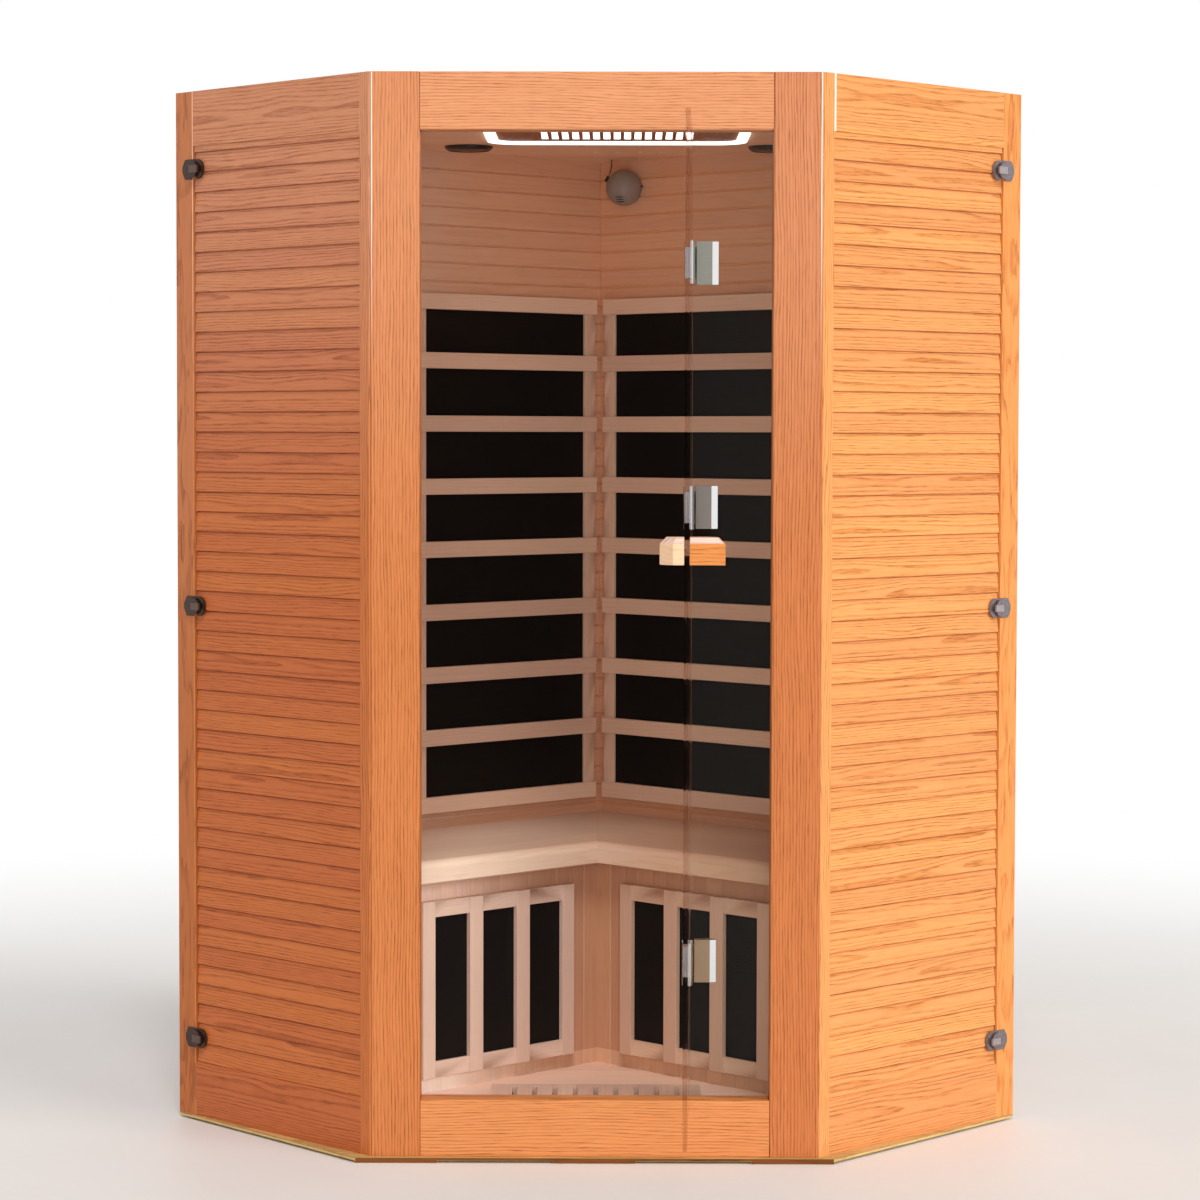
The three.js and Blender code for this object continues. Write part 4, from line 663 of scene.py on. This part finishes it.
# Near-white, partly metallic edges of the door's leaves: a painted highlight.
polished_edge = metal("polished_edge", "dcdce2", "f4f4f8", 0.34, BRUSHED, bare=0.55)
for place, (dark, light) in LEAF_TONES.items():
    satin = metal(f"satin_{place}", dark, light, 0.34, BRUSHED)
    for leaf, face, edge in (("fixed", PANE_FRONT, satin), ("door", DOOR_FACE, polished_edge)):

        def leaf_finish(at, facing, face=face):
            flat = abs(facing.dot(face))
            return 0 if flat > 0.99 else 1 if flat > 0.8 else 2
        dressed(f"hinge_{leaf}_{place}", "hinge_metal", [satin, bright, edge], leaf_finish, ease=0.0004,
                corner=60)

# Handle: two timber blocks bevelled round the top, clamped through the door glass. The outer one
# is stained and the inner one left pale.
HANDLE_GRAIN = (1, 0, 0.04)
handle_stained = timber("handle_stained", ("e0924f", "c47436", "8d5026"), HANDLE_GRAIN, UP, seed=61, rings=150,
                        heart=0.02, lines=0.5)
handle_pale = timber("handle_pale", ("f2cba9", "e6b48c", "cf9a72"), HANDLE_GRAIN, UP, seed=62, rings=150,
                     heart=0.02, lines=0.3, pores=0.3)
# Painted highlight: the faces turned upwards on both blocks are pale pinkish white and glossy.
bevel_highlight = timber("lacquered_bevel", ("f8ddd2", "d99f80", "b0714c"), (1, 0, 0), (0, 1, 0), seed=63, rings=90,
                   heart=0.02, lines=0.7, gloss=0.8)
for block, slot, wood in (("outer", "stained_wood", handle_stained), ("inner", "pale_wood", handle_pale)):
    dressed(f"handle_{block}", slot, [wood, bevel_highlight], lambda at, facing: int(facing.z > 0.3), ease=0.0012,
            corner=30)

# Bench: two hemlock wings glued up of wide boards and mitred at the corner, with a rounded nose.
# Upright grooved boards close it below, and a framed heater stands on each half of that skirt.
SEAT_PITCH, SKIRT_CORNER = 0.093, 0.328
bench_parts, skirt_parts, foot_parts = [], [], []
skirt_foot = min(v.co.z for v in frame["nodes"]["skirt_frame_left"].data.vertices)
for seed, side in enumerate(("left", "right")):
    along, inward = WALL_ALONG[side], WALL_INWARD[side]
    edge = INNER_CORNER.dot(inward)
    # Painted shade: the seat boards darken towards the right wing.
    bench_parts.append(timber(f"bench_boards_{side}", ("ead0bb", "debfa7", "c4a187"), along, inward, edge,
                              SEAT_PITCH, seed=71 + seed, rings=170, variety=0.08, gloss=0.32,
                              shift=(("d2a78b", "c69673", "a87853"), "X", -0.3, 0.25), **PLAIN))
    first = INNER_CORNER.dot(along) + SKIRT_CORNER
    # Painted light and shade: the skirt boards are pale at the left and darker towards the right, and paler
    # below the heater frames, where the frames' shade falls.
    for parts, name, left_tones, right_tones in (
            (skirt_parts, "boards", ("f3d6c8", "e8c4b3", "cfa48e"), ("d0a081", "c6916d", "ab7551")),
            (foot_parts, "foot", ("fff4ec", "fde6da", "edd0c0"), ("e3ba9b", "d9ab88", "be8b66"))):
        parts.append(timber(f"skirt_{name}_{side}", left_tones, UP, along, first - 10 * BOARD_PITCH,
                            BOARD_PITCH, seed=73 + seed, rings=170, variety=0.12, gloss=0.28,
                            shift=(right_tones, "X", -0.4, -0.02), **PLAIN))
middle = [(Vector((0, 0, 0)), Vector((1, 0, 0)))]
dressed("bench_seat", "pale_wood", bench_parts, lambda at, facing: int(at.x > 0), cuts=middle, ease=0.0012)
dressed("bench_skirt", "pale_wood", skirt_parts + foot_parts,
        lambda at, facing: int(at.x > 0) + (2 if at.z < skirt_foot else 0),
        cuts=middle + [(Vector((0, 0, skirt_foot)), UP)], ease=0.0, smooth=15)
STILE_FACE = 0.3438
# Painted shade: the right heater frame is darker than the left.
FRAME_TONES = {"left": HEMLOCK, "right": ("e0bba2", "d4aa8d", "b98b69")}
for seed, side in enumerate(("left", "right")):
    along, inward = WALL_ALONG[side], WALL_INWARD[side]
    upright = timber(f"skirt_stile_{side}", FRAME_TONES[side], UP, along, seed=75 + seed, rings=190, gloss=0.3,
                     **PLAIN)
    level = timber(f"skirt_rail_{side}", FRAME_TONES[side], along, UP, seed=77 + seed, rings=190, gloss=0.3,
                   **PLAIN)
    dressed(f"skirt_frame_{side}", "pale_wood", [upright, level],
            lambda at, facing, inward=inward: int((at - INNER_CORNER).dot(inward) < STILE_FACE), ease=0.001)
    dressed(f"skirt_heater_{side}", "heater", [heater_film], ease=0.0006)

# Back heaters: tall carbon panels flat on the walls, behind ladder guards of hemlock whose rails
# stand a little proud of the stiles they are screwed to.
RAIL_FACE, LOWEST_RAIL, RAIL_PITCH = 0.0142, 0.529, 0.1236
GUARD_TONES = ("ecc9b1", "e0b79c", "c69877")
for seed, side in enumerate(("left", "right")):
    along, inward = WALL_ALONG[side], WALL_INWARD[side]
    upright = timber(f"guard_stile_{side}", GUARD_TONES, UP, along, seed=81 + seed, rings=190, gloss=0.3,
                     **PLAIN)
    level = timber(f"guard_rail_{side}", GUARD_TONES, along, UP, LOWEST_RAIL, RAIL_PITCH, seed=83 + seed,
                   rings=190, gloss=0.3, **PLAIN)
    dressed(f"heater_guard_{side}", "pale_wood", [upright, level],
            lambda at, facing, inward=inward: int((at - INNER_CORNER).dot(inward) > RAIL_FACE), ease=0.001)
    dressed(f"back_heater_{side}", "heater", [heater_film], ease=0.0006)


# Ceiling: hemlock boards with a square light tray let in. A white band of light runs round the
# tray, and a slotted timber louvre covers its middle.
def glowing(name, tone, strength):
    """Opal diffuser lit from behind, a trace uneven where the lamps sit."""
    finish, tree, place = bare_finish(name)
    light = blended(tree, cloudy(tree, place, 30.0, 1.0), paint(tone), (1, 1, 1, 1))
    skin = stitch(tree, "ShaderNodeBsdfPrincipled", {
        "Base Color": paint("f2f2f0"), "Roughness": 0.45, "Emission Color": light,
        "Emission Strength": strength})
    stitch(tree, "ShaderNodeOutputMaterial", {"Surface": skin.outputs[0]})
    return finish


LIGHT_X, LIGHT_Y, SLOT_SPAN, SLOT_REACH, LOUVRE_DEPTH = 0.035, -0.2266, 0.15, 0.142, 0.003
LOUVRE_START, LOUVRE_PITCH = -0.4, 0.0193
ceiling_boards = timber("ceiling_boards", ("ffdabb", "fcc8a5", "e0aa83"), (1, 0, 0), (0, 1, 0), WIDE_START,
                        WIDE_PITCH, seed=91, rings=160, variety=0.1, gloss=0.28, **PLAIN)
# Painted shade: the louvre's bars are given dark brown tones, much darker than the ceiling boards.
louvre_wood = timber("louvre_wood", ("a8714f", "8a593d", "5f3926"), (0, 1, 0), (1, 0, 0), LOUVRE_START,
                     LOUVRE_PITCH, seed=92, rings=180, gloss=0.28, **PLAIN)
opal = glowing("opal_diffuser", "fffaf0", 1.8)
dressed("ceiling_panel", "pale_wood", [ceiling_boards], ease=0.0)
dressed("ceiling_light", "lamp", [opal], ease=0.0015)


# The end walls of the slots take the glowing diffuser finish: painted light from the tray behind.
def louvre_finish(at, facing):
    in_slots = abs(at.x - LIGHT_X) < SLOT_SPAN and abs(at.y - LIGHT_Y) < SLOT_REACH
    return int(in_slots and abs(facing.y) > 0.9 and at.z < CEILING + LOUVRE_DEPTH)


dressed("light_louvre", "pale_wood", [louvre_wood, opal], louvre_finish, ease=0.0)


# Speakers and roof unit: domed black grilles of punched sheet in a glossy bezel, and on the roof
# a painted steel box with vents and a cable gland, where the supply and controls meet.
def moulded(name, tone, fleck, rough, scale, relief, coat=0.0):
    """Moulded or painted surface with a fine skin and slight colour drift."""
    finish, tree, place = bare_finish(name)
    skin_grain = cloudy(tree, place, scale, 2.0)
    drift = cloudy(tree, place, 24.0, 3.0)
    tint = blended(tree, drift, paint(tone), paint(fleck))
    matt = stitch(tree, "ShaderNodeMapRange", {0: drift, 3: rough - 0.05, 4: rough + 0.08}).outputs[0]
    bump = stitch(tree, "ShaderNodeBump", {"Strength": 0.4, "Distance": relief, "Height": skin_grain})
    skin = stitch(tree, "ShaderNodeBsdfPrincipled", {"Base Color": tint, "Roughness": matt,
                                                     "Normal": bump.outputs[0], "Coat Weight": coat})
    stitch(tree, "ShaderNodeOutputMaterial", {"Surface": skin.outputs[0]})
    return finish


speaker_black = moulded("speaker_black", "141414", "222222", 0.4, 600, 0.0002, coat=0.3)
for side in ("left", "right"):
    dressed(f"speaker_{side}", "speaker", [speaker_black], ease=0.0)
painted_steel = moulded("painted_steel", "cfcfcb", "c3c3bf", 0.4, 900, 0.0001)
dressed("power_box", "power_unit", [painted_steel], ease=0.0012)


# Ioniser: a smooth grey-brown ball of moulded plastic, flattened where it sits on the right wall,
# with three slits low on its face, a small black plug at its shoulder and a lead up to the ceiling.
def lead_along():
    """Geometry tree for a round lead on a curve between two ends, with a handle at each."""
    tree = bpy.data.node_groups.new("lead_along", "GeometryNodeTree")
    tree.is_modifier = True
    for socket, kind in (("Start", "Vector"), ("Start Handle", "Vector"), ("End Handle", "Vector"),
                         ("End", "Vector"), ("Radius", "Float"), ("Finish", "Material")):
        tree.interface.new_socket(socket, in_out="INPUT", socket_type=f"NodeSocket{kind}")
    tree.interface.new_socket("Geometry", in_out="OUTPUT", socket_type="NodeSocketGeometry")
    given = stitch(tree, "NodeGroupInput").outputs
    route = stitch(tree, "GeometryNodeCurvePrimitiveBezierSegment", {
        "Resolution": 16, "Start": given["Start"], "Start Handle": given["Start Handle"],
        "End Handle": given["End Handle"], "End": given["End"]})
    section = stitch(tree, "GeometryNodeCurvePrimitiveCircle", {"Resolution": 10, "Radius": given["Radius"]})
    tube = stitch(tree, "GeometryNodeCurveToMesh", {
        "Curve": route.outputs[0], "Profile Curve": section.outputs[0], "Fill Caps": True})
    real = stitch(tree, "GeometryNodeRealizeInstances", {0: tube.outputs[0]})
    coat = stitch(tree, "GeometryNodeSetMaterial", {"Geometry": real.outputs[0], "Material": given["Finish"]})
    stitch(tree, "NodeGroupOutput", {"Geometry": coat.outputs[0]})
    return tree


IONISER_RADIUS, IONISER_STANDOFF, IONISER_GAP = 0.0365, 0.026, 0.0003
IONISER_OUT = WALL_INWARD["right"]
IONISER_FROM_CORNER, IONISER_DROP = 0.094, 0.056
IONISER_MIDDLE = (INNER_CORNER + WALL_ALONG["right"] * IONISER_FROM_CORNER + IONISER_OUT * IONISER_STANDOFF
                  + UP * (CEILING - IONISER_DROP))
SLIT_FACE, SLIT_HALF, SLIT_HEIGHT, SLIT_DEPTH = Vector((-0.32, -0.947, 0)), 0.0075, 0.0019, 0.004
SLIT_DROPS = (0.0205, 0.0249, 0.0293)
PRESSED_FRONT, PRESSED_TOP, SLIT_FRONT = 0.008, -0.012, 0.01
PLUG_FROM, PLUG_TO, PLUG_RADIUS = Vector((-0.0375, -0.004, 0.012)), Vector((-0.0315, -0.004, 0.0225)), 0.0026
KNOB_FROM, KNOB_TO, KNOB_RADIUS = Vector((0.0335, -0.0095, 0.002)), Vector((0.0378, -0.0107, 0.0022)), 0.0022
LEAD_TOP, LEAD_PULL, LEAD_RADIUS = Vector((-0.0245, -0.002, IONISER_DROP)), 0.012, 0.0011
dome_plastic = moulded("dome_plastic", "8d837d", "978d86", 0.3, 900, 0.00008)
black_plastic = moulded("black_plastic", "161616", "262626", 0.45, 900, 0.0001)


def ioniser_ball():
    """The ball, cut flat at the wall, with its slits pressed in."""
    form = bmesh.new()
    bmesh.ops.create_uvsphere(form, u_segments=64, v_segments=40, radius=IONISER_RADIUS)
    whole = form.verts[:] + form.edges[:] + form.faces[:]
    back = bmesh.ops.bisect_plane(form, geom=whole, dist=1e-7, plane_no=IONISER_OUT, clear_inner=True,
                                  plane_co=IONISER_OUT * (IONISER_GAP - IONISER_STANDOFF))
    rim = [e for e in back["geom_cut"] if isinstance(e, bmesh.types.BMEdge)]
    bmesh.ops.contextual_create(form, geom=rim)
    across = SLIT_FACE.cross(UP)
    planes = [(UP * -(drop + way * SLIT_HEIGHT / 2), UP) for drop in SLIT_DROPS for way in (-1, 1)]
    planes += [(across * way * SLIT_HALF, across) for way in (-1, 1)]
    for point, normal in planes:
        middles = [(f, f.calc_center_median()) for f in form.faces]
        near = [f for f, at in middles if at.dot(SLIT_FACE) > PRESSED_FRONT and at.z < PRESSED_TOP]
        parts = list({v for f in near for v in f.verts} | {e for f in near for e in f.edges}) + near
        bmesh.ops.bisect_plane(form, geom=parts, dist=1e-7, plane_co=point, plane_no=normal)
    for face in form.faces:
        at = face.calc_center_median()
        low = any(abs(at.z + drop) < SLIT_HEIGHT / 2 for drop in SLIT_DROPS)
        face.material_index = int(low and abs(at.dot(across)) < SLIT_HALF and at.dot(SLIT_FACE) > SLIT_FRONT)
    for drop in SLIT_DROPS:
        floor = [f for f in form.faces
                 if f.material_index == 1 and abs(f.calc_center_median().z + drop) < SLIT_HEIGHT / 2]
        pressed = bmesh.ops.extrude_face_region(form, geom=floor)["geom"]
        bmesh.ops.delete(form, geom=floor, context="FACES")
        moved = [v for v in pressed if isinstance(v, bmesh.types.BMVert)]
        bmesh.ops.translate(form, verts=moved, vec=SLIT_FACE * -SLIT_DEPTH)
    return form


def ioniser_peg(form, start, end, radius):
    """A short round peg with an eased rim, added to the ball's form."""
    housing = set(form.faces)
    stand = Matrix.Translation((start + end) / 2) @ (end - start).to_track_quat("Z", "Y").to_matrix().to_4x4()
    made = bmesh.ops.create_cone(form, cap_ends=True, segments=20, radius1=radius, radius2=radius,
                                 depth=(end - start).length, matrix=stand)["verts"]
    rims = [e for e in {e for v in made for e in v.link_edges} if e.calc_face_angle(0) > math.radians(60)]
    bmesh.ops.bevel(form, geom=rims, offset=radius * 0.25, offset_type="OFFSET", segments=2, profile=0.5,
                    affect="EDGES")
    for face in set(form.faces) - housing:
        face.material_index = 1


lead = bpy.data.objects.new("ioniser_lead", bpy.data.meshes.new("ioniser_lead"))
scene.collection.objects.link(lead)
leading = lead.modifiers.new("lead", "NODES")
leading.node_group = lead_along()
feed(leading, {"Start": PLUG_TO, "Start Handle": PLUG_TO * 2 - PLUG_FROM,
               "End Handle": LEAD_TOP - UP * LEAD_PULL, "End": LEAD_TOP, "Radius": LEAD_RADIUS,
               "Finish": black_plastic})
lead_mesh = bpy.data.meshes.new_from_object(lead.evaluated_get(bpy.context.evaluated_depsgraph_get()))
bpy.data.objects.remove(lead)
form = ioniser_ball()
ioniser_peg(form, PLUG_FROM, PLUG_TO, PLUG_RADIUS)
ioniser_peg(form, KNOB_FROM, KNOB_TO, KNOB_RADIUS)
ball_faces = len(form.faces)
form.from_mesh(lead_mesh)
form.faces.ensure_lookup_table()
for face in form.faces[ball_faces:]:
    face.material_index = 1
bmesh.ops.translate(form, verts=form.verts, vec=IONISER_MIDDLE)
bmesh.ops.recalc_face_normals(form, faces=form.faces)
ioniser_mesh = bpy.data.meshes.new("ioniser_finished")
form.to_mesh(ioniser_mesh)
form.free()
ioniser_mesh.materials.append(dome_plastic)
ioniser_mesh.materials.append(black_plastic)
ioniser_mesh.shade_smooth()
ioniser_mesh.set_sharp_from_angle(angle=math.radians(40))
ioniser = bpy.data.objects.new("ioniser_finished", ioniser_mesh)
scene.collection.objects.link(ioniser)
settle(ioniser, "ioniser", "ioniser")

# Control panel: a dark moulded plate on the lining of the right side panel, with a sunk blank
# display and a row of round keys below it.
KEY_TOP, SUNK = 0.0008, 0.0025
panel_black = moulded("panel_black", "17181a", "202224", 0.32, 700, 0.0001, coat=0.4)
blank_display = moulded("blank_display", "0b1416", "10201f", 0.12, 300, 0.00002, coat=1.0)
soft_key = moulded("soft_key", "47494b", "54575a", 0.5, 900, 0.0001)
panel_inward = SIDE_INWARD["right"]
key_reach = max(v.co.dot(panel_inward) for v in frame["nodes"]["control_panel"].data.vertices)


def control_finish(at, facing):
    below = key_reach - at.dot(panel_inward)
    if facing.dot(panel_inward) < 0.9:
        return 0
    return 2 if below < KEY_TOP else int(below > SUNK)


dressed("control_panel", "control", [panel_black, blank_display, soft_key], control_finish, ease=0.0008)

# Turn latches: dark bronzed castings across the joint of side panel and back wall. The body holds
# a turning cam with a thumb tab, and the keeper has the ridge that the cam hooks behind.
TAB_DEPTH, CAM_DEPTH = -0.0088, -0.0082
SAND_GRAIN, CASTING_RELIEF = (380, 380, 380), 0.0006
# The castings are one bronze on both sides, dark brown on the left and a lighter violet grey on the right:
# painted light and shade.
CASTING_TONES = {"left": (("1d1310", "5a443b"), ("33241e", "6c5449"), ("3c2b25", "7c6256")),
                 "right": (("4a4041", "a89da2"), ("665b5a", "9a8f90"), ("776c6d", "cfc5c8"))}
for side in ("left", "right"):
    inward, origin = SIDE_INWARD[side], SIDE_ORIGIN[side]
    plate_bronze, cam_bronze, tab_bronze = (
        metal(f"{name}_bronze_{side}", dark, light, 0.32, SAND_GRAIN, CASTING_RELIEF, bare=0.6)
        for name, (dark, light) in zip(("plate", "cam", "worn"), CASTING_TONES[side]))

    # The cam's faces nearest the panel get lighter tones, painted light in the shaded gap round it; the tab's
    # faces farthest out get the lightest tones.
    def cam_finish(at, facing, inward=inward, origin=origin):
        depth = (at - origin).dot(inward)
        return 2 if depth < TAB_DEPTH else int(depth > CAM_DEPTH)
    for place in ("top", "middle", "bottom"):
        for piece in ("body", "keeper"):
            dressed(f"latch_{piece}_{place}_{side}", "latch_metal", [plate_bronze], ease=0.0007, corner=45)
        dressed(f"latch_cam_{place}_{side}", "latch_metal", [plate_bronze, cam_bronze, tab_bronze],
                cam_finish, ease=0.0007, corner=45)
